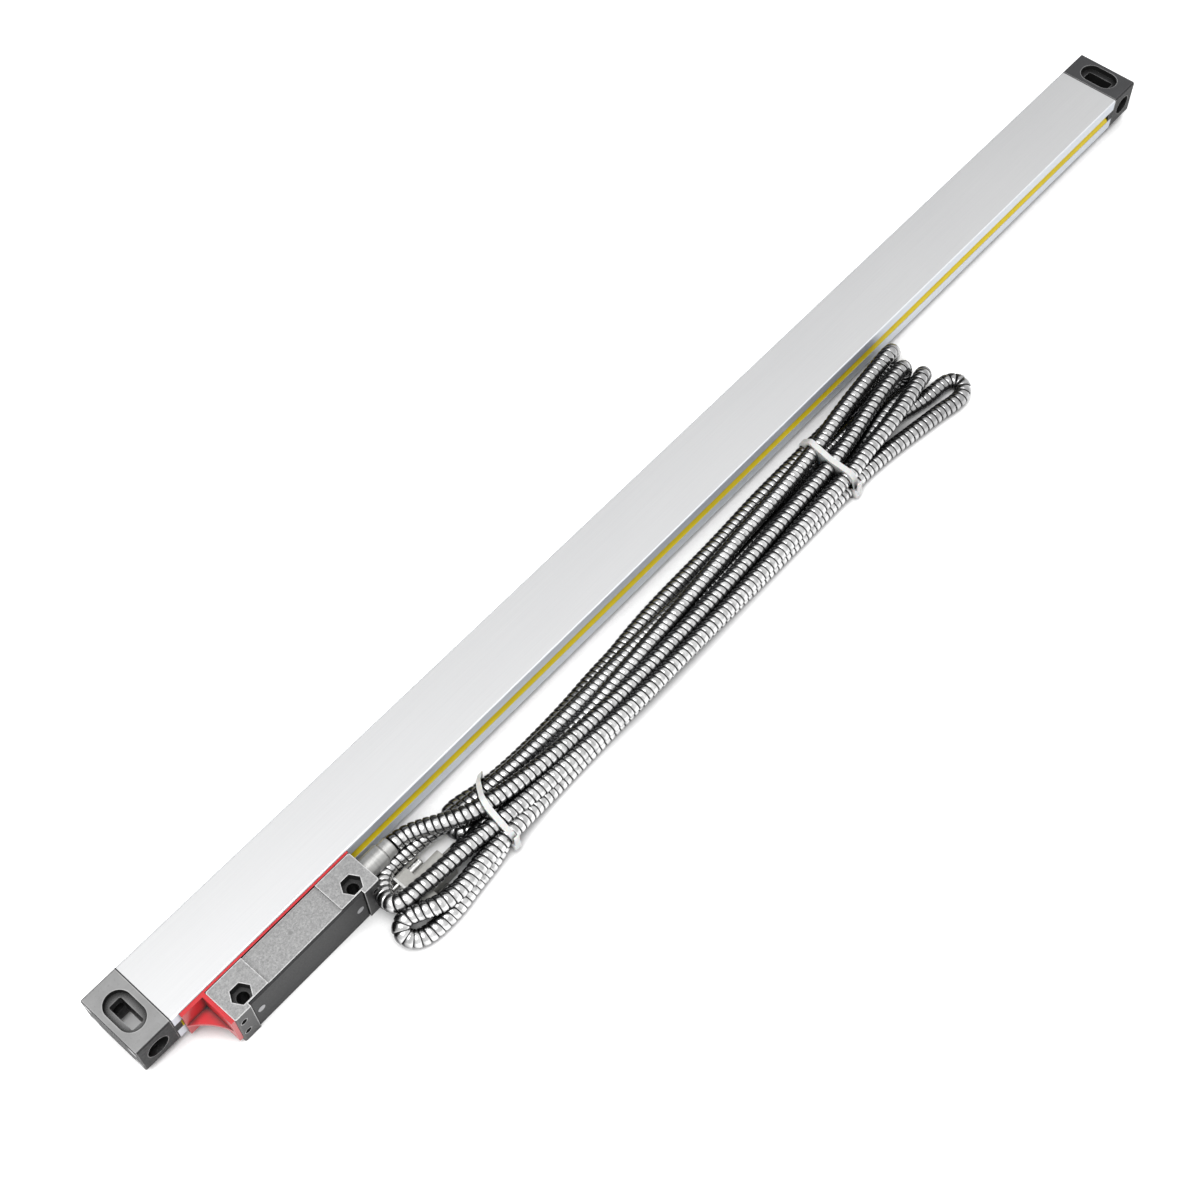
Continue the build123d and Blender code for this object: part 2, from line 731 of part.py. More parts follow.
with BuildPart() as pins:
    for place in bearing_places:
        with BuildSketch(place):
            Circle(bearing_bore / 2)
        extrude(amount=pin_length / 2, both=True)
pins.part.label = "bearing_pins"

# Reading unit: light source under the glass, reticle and photodetector over it.
with BuildPart() as reticle:
    with BuildSketch(carriage_plane.offset(reticle_bottom)):
        with Locations((optic_x, optic_inset)):
            Rectangle(reticle_length, reticle_width)
    extrude(amount=reticle_thickness)
reticle.part.label = "reticle"

with BuildPart() as sensor:
    with BuildSketch(carriage_plane.offset(reticle_top)):
        with Locations((optic_x, optic_inset)):
            Rectangle(sensor_length, sensor_width)
    extrude(amount=sensor_thickness)
sensor.part.label = "photodetector"

with BuildPart() as detector:
    with BuildSketch(carriage_plane.offset(detector_bottom)):
        with Locations((optic_x, optic_inset)):
            Rectangle(detector_length, detector_width)
    extrude(amount=detector_thickness)
detector.part.label = "detector_board"

with BuildPart() as lamp_board:
    with BuildSketch(carriage_plane.offset(lamp_board_bottom)):
        with Locations((optic_x, optic_inset)):
            Rectangle(lamp_board_length, lamp_board_width)
    extrude(amount=detector_thickness)
lamp_board.part.label = "light_source_board"

with BuildPart() as lamp:
    with BuildSketch(carriage_plane.offset(lamp_board_top)):
        with Locations((optic_x, optic_inset)):
            Circle(lamp_diameter / 2)
    extrude(amount=lamp_height)
    fillet(lamp.edges().group_by(Axis.Z)[-1], radius=lamp_diameter / 2 - 0.4)
lamp.part.label = "light_source_lens"

# Flat leads: one from the detector over the blade to the head's board, one from the light
# source round the front of the carriage to the detector.
lead_front = (lip_depth + carriage_front) / 2
board_side = -head_gap - head_back_wall - board_post + lead_thickness
with BuildPart() as lead:
    with BuildSketch(carriage_section.offset(lead_x)):
        with BuildLine():
            FilletPolyline(
                (optic_inset, detector_top),
                (lead_front, detector_top),
                (lead_front, blade_top),
                (board_side, blade_top),
                (board_side, blade_top - 3.4),
                radius=0.4,
            )
            offset(amount=lead_thickness, side=Side.RIGHT)
        make_face()
    extrude(amount=lead_width / 2, both=True)
lead.part.label = "head_lead"

with BuildPart() as lamp_lead:
    with BuildSketch(carriage_section.offset(lamp_lead_x)):
        with BuildLine():
            FilletPolyline(
                (optic_inset, lamp_board_bottom),
                (carriage_front, lamp_board_bottom),
                (carriage_front, detector_top),
                (optic_inset, detector_top),
                radius=0.05,
            )
            offset(amount=lead_thickness, side=Side.LEFT)
        make_face()
    extrude(amount=lamp_lead_width / 2, both=True)
lamp_lead.part.label = "light_source_lead"

# Cable exit: a gland in the head's end with a spigot, and the ferrule that grips the hose.
exit_plane = Plane(origin=(head_far_x, exit_y, exit_height), x_dir=(0, 1, 0), z_dir=(1, 0, 0))
core_hole = core_diameter / 2 + core_play
with BuildPart() as gland:
    with BuildSketch(Plane(origin=(head_far_x, exit_y, exit_height), z_dir=(0, -1, 0), x_dir=(1, 0, 0))):
        with BuildLine():
            Polyline(
                (-gland_thread_length, core_hole),
                (-gland_thread_length, gland_thread / 2),
                (0, gland_thread / 2),
                (0, gland_diameter / 2),
                (gland_length - 2 * gland_groove, gland_diameter / 2),
                (gland_length - gland_groove, gland_diameter / 2 - gland_groove),
                (gland_length - gland_groove, ferrule_diameter / 2 - gland_groove),
                (gland_length, ferrule_diameter / 2 - gland_groove),
                (gland_length, ferrule_bore / 2),
                (gland_length + ferrule_length - 1, ferrule_bore / 2),
                (gland_length + ferrule_length - 1, core_hole),
                close=True,
            )
        make_face()
    revolve(axis=Axis((head_far_x, exit_y, exit_height), (1, 0, 0)))
gland.part.label = "gland_body"

with BuildPart() as ferrule:
    with BuildSketch(exit_plane.offset(gland_length)):
        Circle(ferrule_diameter / 2)
        Circle(ferrule_bore / 2, mode=Mode.SUBTRACT)
    extrude(amount=ferrule_length)
    fillet(ferrule.faces().sort_by(Axis.X)[-1].edges().sort_by(SortBy.RADIUS)[-1], radius=0.4)
ferrule.part.label = "gland_ferrule"

with BuildPart() as core:
    with BuildSketch(exit_plane.offset(gland_length + ferrule_length)):
        Circle(core_diameter / 2)
    extrude(amount=-(gland_length + ferrule_length + head_length / 2 - core_inset))
core.part.label = "cable_core"

# Armoured hose: the free stretch from the ferrule to the hank.
hose_points = [
    (exit_x, exit_y, exit_height),
    (exit_x + 9.8, exit_y, exit_height),
    (exit_x + 19.4, exit_y - 2.0, exit_height - 0.4),
    (exit_x + 28.3, exit_y - 6.1, exit_height - 1.5),
    (exit_x + 36.7, exit_y - 11.0, exit_height - 2.9),
]
hose_radii = []
for before, point, after in zip(hose_points, hose_points[1:], hose_points[2:]):
    run_in = Vector(*point) - Vector(*before)
    run_out = Vector(*after) - Vector(*point)
    turn = run_in.get_angle(run_out)
    half_turn = Vector(1, 0, 0).rotate(Axis.Z, turn / 2)
    hose_radii.append(0.45 * min(run_in.length, run_out.length) * half_turn.X / half_turn.Y)
print("hose radii", [round(radius, 1) for radius in hose_radii])
with BuildPart() as hose:
    with BuildLine() as hose_line:
        FilletPolyline(*hose_points, radius=hose_radii)
    with BuildSketch(Plane(origin=hose_line.line @ 0, z_dir=hose_line.line % 0)):
        Circle(hose_diameter / 2)
    sweep()
hose.part.label = "hose_tube"
hose_section = pi * hose_diameter**2 / 4
hose_length = sum(edge.length for edge in hose_line.edges())
print("hose volume", round(hose.part.volume), "of", round(hose_section * hose_length))

# Cable ties round the bundle, each with its lock.
tie_places = [(tie_near_x, -29.8, 26.0, 10.2), (tie_far_x, -23.0, 28.0, 9.0)]
tie_cores = []
ties = []
for (x, y, width, lock), name in zip(tie_places, ("near", "far")):
    tie_plane = Plane(
        origin=(x, front_y + y, hank_height / 2), x_dir=(0, 1, 0), z_dir=(1, 0, 0)
    )
    with BuildPart() as tie:
        with BuildSketch(tie_plane):
            RectangleRounded(width, hank_height, 5)
            RectangleRounded(
                width - 2 * tie_thickness,
                hank_height - 2 * tie_thickness,
                5 - tie_thickness,
                mode=Mode.SUBTRACT,
            )
        extrude(amount=tie_width / 2, both=True)
        with BuildSketch(tie_plane):
            with Locations((-lock, hank_height / 2 - 0.2)):
                Rectangle(4.4, 2.8, align=(Align.CENTER, Align.MIN))
        extrude(amount=2.2, both=True)
    tie.part.label = "cable_tie_" + name
    ties.append(tie.part)
    with BuildPart() as tie_room:
        with BuildSketch(tie_plane):
            Rectangle(width + 30, hank_height + 10)
            RectangleRounded(
                width - 2 * tie_thickness,
                hank_height - 2 * tie_thickness,
                5 - tie_thickness,
                mode=Mode.SUBTRACT,
            )
        extrude(amount=tie_width / 2, both=True)
        with BuildSketch(tie_plane):
            with Locations((-lock, hank_height / 2 - 0.2)):
                Rectangle(4.6, 4, align=(Align.CENTER, Align.MIN))
        extrude(amount=2.3, both=True)
    tie_cores.append(tie_room.part)

# Hank of the remaining hose: the bundle's outer shape, from the near loops over the two ties
# to the far loops, with room under the near loops for the connector. Its points are counted
# from the place where the hose leaves the ferrule.
hank_outline = [
    (-22.0, -31.0),
    (-21.0, -23.0),
    (-15.4, -19.8),
    (-15.2, -14.0),
    (-11.0, -12.3),
    (3.0, -12.6),
    (37.0, -15.0),
    (49.0, -16.6),
    (157.0, -12.5),
    (271.0, -8.6),
    (297.0, -4.2),
    (341.0, -1.0),
    (350.0, -8.0),
    (354.0, -42.0),
    (345.0, -50.0),
    (317.0, -47.5),
    (292.0, -42.0),
    (271.0, -38.0),
    (157.0, -41.5),
    (49.0, -43.2),
    (12.0, -50.5),
    (-11.0, -51.5),
    (-20.5, -46.0),
]
hose_end = Vector(*hose_points[-1])
entry_direction = hose_end - Vector(*hose_points[-2])
entry = Plane(origin=hose_end, x_dir=(0, 0, 1), z_dir=entry_direction)
hose_room = hose_diameter / 2 + hose_play
under_hose = hose_end.Z - hose_room
neck_end_x = plug_x + hood_neck_length
with BuildPart() as hank:
    with BuildSketch(Plane(origin=(exit_x, front_y, 0))):
        with BuildLine():
            Polyline(*hank_outline, close=True)
        make_face()
    extrude(amount=hank_height)
    chamfer(hank.faces().filter_by(Axis.Z).edges(), length=hank_round)
    with BuildSketch(entry):
        with Locations((-hose_room, -hose_room)):
            Rectangle(hank_height, plug_room, align=(Align.MIN, Align.MIN))
    extrude(amount=-entry_room, mode=Mode.SUBTRACT)
    with BuildSketch(Plane(origin=(hose_end.X - lead_room_start, front_y, under_hose))):
        Rectangle(lead_room, lead_room_depth, align=(Align.MAX, Align.MAX))
    extrude(amount=hank_height, mode=Mode.SUBTRACT)
    with BuildSketch(Plane(origin=(neck_end_x, plug_y, 0))):
        Rectangle(plug_room, hood_ear_width + 2 * hose_play, align=(Align.MAX, Align.CENTER))
    extrude(amount=hood_height + hose_play, mode=Mode.SUBTRACT)
    for room in tie_cores:
        add(room, mode=Mode.SUBTRACT)
hank.part.label = "hose_hank"

# Connector under the near loops: hood with a neck for the hose, flange and shell in one
# stamping, insert with its contacts, and two thumbscrews that turn in the hood's ears.
plug_z = hood_height / 2
plug_end = Plane(origin=(plug_x, plug_y, plug_z), x_dir=(0, 1, 0), z_dir=(1, 0, 0))
flange_back = plug_end.offset(-hood_length)
flange_front = flange_back.offset(-flange_thickness)
thumb_places = [(-thumb_spread, 0), (thumb_spread, 0)]
with BuildPart() as hood:
    with BuildSketch(plug_end):
        RectangleRounded(hood_width, hood_height, 2)
    extrude(amount=-hood_length)
    with BuildSketch(flange_back):
        RectangleRounded(hood_ear_width, hood_height, 2)
        with Locations(thumb_places):
            Circle(thumb_diameter / 2 + thumb_play, mode=Mode.SUBTRACT)
    extrude(amount=hood_ear_length)
    with BuildSketch(plug_end):
        Circle(hood_neck_diameter / 2)
    extrude(amount=hood_neck_length)
    with BuildSketch(flange_back):
        RectangleRounded(shell_width - 1, shell_height - 1, 1)
    extrude(amount=1.5, mode=Mode.SUBTRACT)
hood.part.label = "connector_hood"

with BuildPart() as shell:
    with BuildSketch(flange_front):
        RectangleRounded(hood_ear_width, hood_height, 1)
        with Locations(thumb_places):
            Circle(thumb_diameter / 2 + thumb_play, mode=Mode.SUBTRACT)
    extrude(amount=flange_thickness)
    with BuildSketch(flange_front):
        RectangleRounded(shell_width, shell_height, 1.6)
    extrude(amount=-shell_length)
    with BuildSketch(flange_front.offset(flange_thickness)):
        RectangleRounded(shell_width - 2 * shell_wall, shell_height - 2 * shell_wall, 1.6 - shell_wall)
    extrude(amount=-flange_thickness - shell_length, mode=Mode.SUBTRACT)
shell.part.label = "connector_shell"

with BuildPart() as insert:
    with BuildSketch(flange_back):
        RectangleRounded(
            shell_width - 2 * (shell_wall + insert_play),
            shell_height - 2 * (shell_wall + insert_play),
            1.6 - shell_wall,
        )
    extrude(amount=-(flange_thickness + shell_length - 0.6))
    with BuildSketch(flange_front.offset(-shell_length + 0.6)):
        with Locations((0, 0.9)):
            with GridLocations(1.9, 1, 5, 1):
                Circle(0.45)
        with Locations((0, -0.9)):
            with GridLocations(1.9, 1, 4, 1):
                Circle(0.45)
    extrude(amount=3, mode=Mode.SUBTRACT)
insert.part.label = "connector_insert"

thumbscrews = []
for (y, z), name in zip(thumb_places, ("right", "left")):
    with BuildPart() as thumbscrew:
        with BuildSketch(flange_back.offset(hood_ear_length + 0.1)):
            with Locations((y, z)):
                Circle(thumb_knob / 2)
        extrude(amount=thumb_knob_length)
        with BuildSketch(flange_front.offset(-thumb_tip_length)):
            with Locations((y, z)):
                Circle(thumb_diameter / 2)
        extrude(amount=thumb_tip_length + flange_thickness + hood_ear_length + 0.1)
        chamfer(thumbscrew.faces().sort_by(Axis.X)[-1].edges(), length=0.4)
    thumbscrew.part.label = "thumbscrew_" + name
    thumbscrews.append(thumbscrew.part)

# Transport bracket: a corner of two walls with a web, and two prongs that keep the head off
# the housing, above and below the blade.
bracket_face = -bracket_gap
bracket_corner = (head_near_x - bracket_wall, bracket_face)
prong_height = body_height / 2 - bracket_prong_gap
with BuildPart() as bracket:
    with BuildSketch(Plane(origin=(0, front_y, body_lift))):
        with Locations((head_near_x, bracket_face)):
            Rectangle(bracket_wall, head_reach - bracket_gap - bracket_foot_inset, align=(Align.MAX, Align.MAX))
            Rectangle(bracket_reach, bracket_wall, align=(Align.MAX, Align.MAX))
    extrude(amount=body_height)
    with BuildSketch(Plane(origin=(0, front_y, bracket_web_height - bracket_web / 2))):
        with BuildLine():
            toe = (head_near_x - bracket_reach, bracket_face - bracket_wall)
            end = (head_near_x - bracket_wall, -head_reach + bracket_end_inset)
            middle = (
                (toe[0] + end[0]) / 2 + bracket_sag,
                (toe[1] + end[1]) / 2 + bracket_sag,
            )
            ThreePointArc(toe, middle, end)
            Polyline(end, bracket_corner, (toe[0], bracket_face), toe)
        make_face()
    extrude(amount=bracket_web)
    with BuildSketch(Plane(origin=(0, front_y, mid_z), x_dir=(0, 1, 0), z_dir=(1, 0, 0)).offset(head_near_x)):
        with Locations((bracket_face, bracket_prong_gap)):
            Rectangle(bracket_strip, prong_height, align=(Align.MAX, Align.MIN))
        with Locations((bracket_face, -bracket_prong_gap)):
            Rectangle(bracket_strip, prong_height, align=(Align.MAX, Align.MAX))
    extrude(amount=head_length)
bracket.part.label = "transport_bracket"

pieces = [
    housing.part,
    *seals,
    glass.part,
    bond.part,
    *caps,
    *gaskets,
    cap_screws.part,
    head.part,
    cover.part,
    cover_screws.part,
    board.part,
    board_screws.part,
    blade.part,
    blade_screws.part,
    wire.part,
    carriage.part,
    *outer_rings,
    inner_rings.part,
    pins.part,
    reticle.part,
    sensor.part,
    detector.part,
    lamp_board.part,
    lamp.part,
    lead.part,
    lamp_lead.part,
    gland.part,
    ferrule.part,
    core.part,
    hose.part,
    hank.part,
    *ties,
    hood.part,
    shell.part,
    insert.part,
    *thumbscrews,
    bracket.part,
]
os.makedirs("parts", exist_ok=True)
for piece in pieces:
    export_step(piece, "parts/" + piece.label + ".step")
print(len(pieces), "nodes")
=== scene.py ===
import bisect
import bpy
import bmesh
import math
from mathutils import Matrix, Vector


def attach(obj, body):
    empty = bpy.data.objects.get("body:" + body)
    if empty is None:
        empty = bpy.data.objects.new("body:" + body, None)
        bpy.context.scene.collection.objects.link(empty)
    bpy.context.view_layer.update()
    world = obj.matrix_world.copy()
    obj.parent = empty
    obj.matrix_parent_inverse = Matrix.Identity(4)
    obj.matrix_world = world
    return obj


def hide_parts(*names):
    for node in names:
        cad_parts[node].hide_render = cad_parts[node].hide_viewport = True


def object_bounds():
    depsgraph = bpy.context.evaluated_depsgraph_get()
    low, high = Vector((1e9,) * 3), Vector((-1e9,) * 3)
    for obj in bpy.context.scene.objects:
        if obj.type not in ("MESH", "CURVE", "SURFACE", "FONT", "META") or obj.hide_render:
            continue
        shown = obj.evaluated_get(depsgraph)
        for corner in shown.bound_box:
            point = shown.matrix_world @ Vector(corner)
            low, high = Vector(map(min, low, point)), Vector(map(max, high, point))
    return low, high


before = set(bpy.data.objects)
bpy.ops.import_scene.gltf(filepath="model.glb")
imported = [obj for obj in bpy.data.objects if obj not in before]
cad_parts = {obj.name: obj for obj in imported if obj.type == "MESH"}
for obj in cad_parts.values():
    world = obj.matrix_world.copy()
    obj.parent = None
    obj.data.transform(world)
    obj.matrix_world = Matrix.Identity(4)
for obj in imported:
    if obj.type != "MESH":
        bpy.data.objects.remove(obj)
cadLow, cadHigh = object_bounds()
scene = bpy.context.scene
mm = 0.001  # lengths of the hose and its ties are in millimetres, all others in metres


def addObject(name, data):
    item = bpy.data.objects.new(name, data)
    scene.collection.objects.link(item)
    return item


def meshFrom(name, bm):
    mesh = bpy.data.meshes.new(name)
    bm.to_mesh(mesh)
    bm.free()
    return mesh


# Camera, fitted to the photograph

cameraView = {
    "place": (-0.39306, -0.30429, 0.71398),
    "right": (0.66080, -0.75025, -0.02147),
    "down": (-0.64288, -0.55101, -0.53207),
    "lens": 56.232,
    "sensor": 36.0,
    "clip": (0.05, 20),
}


def makeCamera():
    data = bpy.data.cameras.new("photoCamera")
    data.lens, data.sensor_width = cameraView["lens"], cameraView["sensor"]
    data.clip_start, data.clip_end = cameraView["clip"]
    camera = addObject("photoCamera", data)
    right = Vector(cameraView["right"]).normalized()
    up = -Vector(cameraView["down"]).normalized()
    back = right.cross(up).normalized()
    up = back.cross(right)  # square to the other two
    turn = Matrix((right, up, back)).transposed().to_4x4()
    camera.matrix_world = Matrix.Translation(cameraView["place"]) @ turn
    scene.camera = camera


makeCamera()
print("camera placed")


# Shader helpers: each adds nodes to a tree and returns the socket that carries the result

def grey(value):
    return (value, value, value)


def newMaterial(name, look):
    material = bpy.data.materials.new(name)
    material.use_nodes = True
    tree = material.node_tree
    shader = tree.nodes["Principled BSDF"]
    shader.inputs["Base Color"].default_value = (*look["colour"], 1)
    shader.inputs["Metallic"].default_value = look.get("metallic", 0)
    shader.inputs["Roughness"].default_value = look["roughness"]
    for socket, number in look.get("sockets", {}).items():
        shader.inputs[socket].default_value = number
    return material, tree, shader


def feed(tree, socket, part):
    if isinstance(part, bpy.types.NodeSocket):
        tree.links.new(part, socket)
    elif socket.type == "RGBA":
        socket.default_value = (*part, 1)
    else:
        socket.default_value = part


def place(tree, scale=(1, 1, 1)):
    coords = tree.nodes.new("ShaderNodeTexCoord")
    mapping = tree.nodes.new("ShaderNodeMapping")
    mapping.inputs["Scale"].default_value = scale
    tree.links.new(coords.outputs["Object"], mapping.inputs["Vector"])
    return mapping.outputs["Vector"]


def noise(tree, vector, scale, detail=4, rough=0.55, distortion=0.0):
    node = tree.nodes.new("ShaderNodeTexNoise")
    node.inputs["Scale"].default_value = scale
    node.inputs["Detail"].default_value = detail
    node.inputs["Roughness"].default_value = rough
    node.inputs["Distortion"].default_value = distortion
    tree.links.new(vector, node.inputs["Vector"])
    return node.outputs["Fac"]


def ramp(tree, value, stops):
    node = tree.nodes.new("ShaderNodeValToRGB")
    elements = node.color_ramp.elements
    while len(elements) < len(stops):
        elements.new(0.5)
    for element, (spot, colour) in zip(elements, stops):
        element.position = spot
        element.color = (*colour, 1)
    tree.links.new(value, node.inputs["Fac"])
    return node.outputs["Color"]


def levels(tree, value, result, span=(0.3, 0.7)):  # span is the part of value that result covers
    node = tree.nodes.new("ShaderNodeMapRange")
    for key, number in zip(("From Min", "From Max", "To Min", "To Max"), (*span, *result)):
        node.inputs[key].default_value = number
    tree.links.new(value, node.inputs["Value"])
    return node.outputs["Result"]


def maths(tree, kind, first, second=None):
    node = tree.nodes.new("ShaderNodeMath")
    node.operation = kind
    feed(tree, node.inputs[0], first)
    if second is not None:
        feed(tree, node.inputs[1], second)
    return node.outputs["Value"]


def vectorMaths(tree, kind, first, second):
    node = tree.nodes.new("ShaderNodeVectorMath")
    node.operation = kind
    feed(tree, node.inputs[0], first)
    feed(tree, node.inputs[1], second)
    return node.outputs["Value"]


def blendColours(tree, amount, first, second, kind="MIX"):
    node = tree.nodes.new("ShaderNodeMix")
    node.data_type = "RGBA"
    node.blend_type = kind
    for key, part in ((0, amount), (6, first), (7, second)):  # the colour sockets of this node
        feed(tree, node.inputs[key], part)
    return node.outputs[2]


def multiplied(tree, first, second):
    return blendColours(tree, 1.0, first, second, "MULTIPLY")


def layered(tree, coarse, fine):
    return maths(tree, "ADD", maths(tree, "MULTIPLY", coarse, 0.6), maths(tree, "MULTIPLY", fine, 0.4))


def axisOf(tree, vector, axis):
    split = tree.nodes.new("ShaderNodeSeparateXYZ")
    tree.links.new(vector, split.inputs["Vector"])
    return split.outputs[axis]


def surfaceNormal(tree):
    return tree.nodes.new("ShaderNodeNewGeometry").outputs["Normal"]


def roundedNormal(tree, radius, samples):
    node = tree.nodes.new("ShaderNodeBevel")
    node.samples = samples
    node.inputs["Radius"].default_value = radius
    return node.outputs["Normal"]


def openness(tree, reach, samples):
    node = tree.nodes.new("ShaderNodeAmbientOcclusion")
    node.samples = samples
    node.inputs["Distance"].default_value = reach
    return node.outputs["AO"]


def bumpFrom(tree, shader, height, look):
    node = tree.nodes.new("ShaderNodeBump")
    node.inputs["Strength"].default_value = look.get("bump", 0.2)
    node.inputs["Distance"].default_value = look.get("depth", 0.0001)
    tree.links.new(height, node.inputs["Height"])
    if "edge" in look:
        tree.links.new(roundedNormal(tree, look["edge"], 4), node.inputs["Normal"])
    tree.links.new(node.outputs["Normal"], shader.inputs["Normal"])


def upward(tree, span):
    return levels(tree, axisOf(tree, surfaceNormal(tree), "Z"), (0, 1), span)


def towards(tree, way, span):
    return levels(tree, vectorMaths(tree, "DOT_PRODUCT", surfaceNormal(tree), way), (0, 1), span)


def facing(tree, axis, span):  # either way along the axis
    side = maths(tree, "ABSOLUTE", axisOf(tree, surfaceNormal(tree), axis))
    return levels(tree, side, (0, 1), span)


def edges(tree, radius, span=(0.004, 0.12)):
    agree = vectorMaths(tree, "DOT_PRODUCT", roundedNormal(tree, radius, 6), surfaceNormal(tree))
    return levels(tree, maths(tree, "SUBTRACT", 1.0, agree), (0, 1), span)


def paintedHollowShade(tree, colour, look):  # painted shade: darkens what lies in corners and between pieces
    bright = levels(tree, openness(tree, look["reach"], 6), (0, 1), look["span"])
    return blendColours(tree, bright, grey(look["shade"]), colour)


def seenRays(tree):  # 1 for what the camera sees, also in a mirror or through glass
    path = tree.nodes.new("ShaderNodeLightPath").outputs
    mirrored = maths(tree, "MAXIMUM", path["Is Glossy Ray"], path["Is Transmission Ray"])
    return maths(tree, "MAXIMUM", path["Is Camera Ray"], mirrored)


# Finish that most pieces share: grain, patches, uneven gloss and a fine relief
# In every look depth, edge and reach are in metres, and grain, broad, pores and clouds are noise scales

def grainedFinish(name, look):
    base, spread, rough = look["colour"], look.get("spread", 0.08), look["roughness"]
    material, tree, shader = newMaterial(name, look)
    broad = noise(tree, place(tree), look.get("broad", 60), 3)
    fine = noise(tree, place(tree, look.get("stretch", (1, 1, 1))), look["grain"], 6, 0.65)
    dark = tuple(c * (1 - spread) for c in base)
    light = tuple(min(1, c * (1 + spread)) for c in base)
    tone = ramp(tree, fine, [(0.3, dark), (0.5, base), (0.72, light)])
    patch = ramp(tree, broad, [(0.35, grey(1 - spread / 2)), (0.65, grey(1))])
    colour = multiplied(tree, tone, patch)
    # painted shade in corners and between pieces, where the look asks for it
    if "hollowShade" in look:
        colour = paintedHollowShade(tree, colour, look["hollowShade"])
    tree.links.new(colour, shader.inputs["Base Color"])
    tree.links.new(levels(tree, fine, (rough * 0.85, min(1, rough * 1.2))), shader.inputs["Roughness"])
    bumpFrom(tree, shader, fine, look)
    return material


def dress(material, *names):
    for name in names:
        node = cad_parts[name]
        if not node.material_slots:
            node.data.materials.append(None)
        for slot in node.material_slots:
            slot.material = material


def dressAll(looks, make=grainedFinish):
    for name, look in looks.items():
        dress(make(name, look), *look["nodes"])


# Armoured hose: strip wound steel on one long spline

hose = {
    "diameter": 7.0,
    "crest": 4.05,  # radius over the crests
    "pitch": 3.1,
    "sides": 14,
    "profile": [  # share of the pitch, share of the radius, depth of the gap
        (0.00, 0.84, 1.0), (0.07, 0.955, 0.3), (0.18, 1.0, 0.0), (0.48, 0.995, 0.0),
        (0.72, 0.965, 0.0), (0.88, 0.93, 0.1), (0.94, 0.84, 1.0),
    ],
    "pointGap": 0.5,  # points of the route that lie closer are merged
    "toneWaves": (1700, 610),  # radians per metre, for turns that differ in brightness
}
hoseLook = {
    "colour": grey(0.6), "metallic": 0.95, "roughness": 0.24,
    "grain": 900, "bump": 0.15, "depth": 0.00005,
    "crests": [(0.0, grey(0.46)), (0.5, grey(0.70)), (1.0, grey(0.92))],
    "farShadedCrest": (0.26, 0.26, 0.265), "farSpan": (0.05, 0.12), "farShare": 0.62,  # painted shade, the crests darker towards the far loops
    "wearAndHighlight": grey(0.3), "wornShare": 0.25,
    # faces turned from lightFrom take the flank's colour, as the photograph's dark reflections do
    "lightFrom": (0.10, -0.75, 0.65), "litSpan": (0.18, 0.76), "flankReflection": (0.04, 0.04, 0.042),
    "hollowShade": {"reach": 0.0052, "shade": 0.021, "span": (0.14, 0.66)},
    # painted shade in the grooves between the turns
    "gap": (0.012, 0.012, 0.013), "gapSpan": (0.1, 0.75),
    "gloss": (0.22, 0.8), "glossSpan": (0.1, 0.9),  # crests polished, gaps rough
}
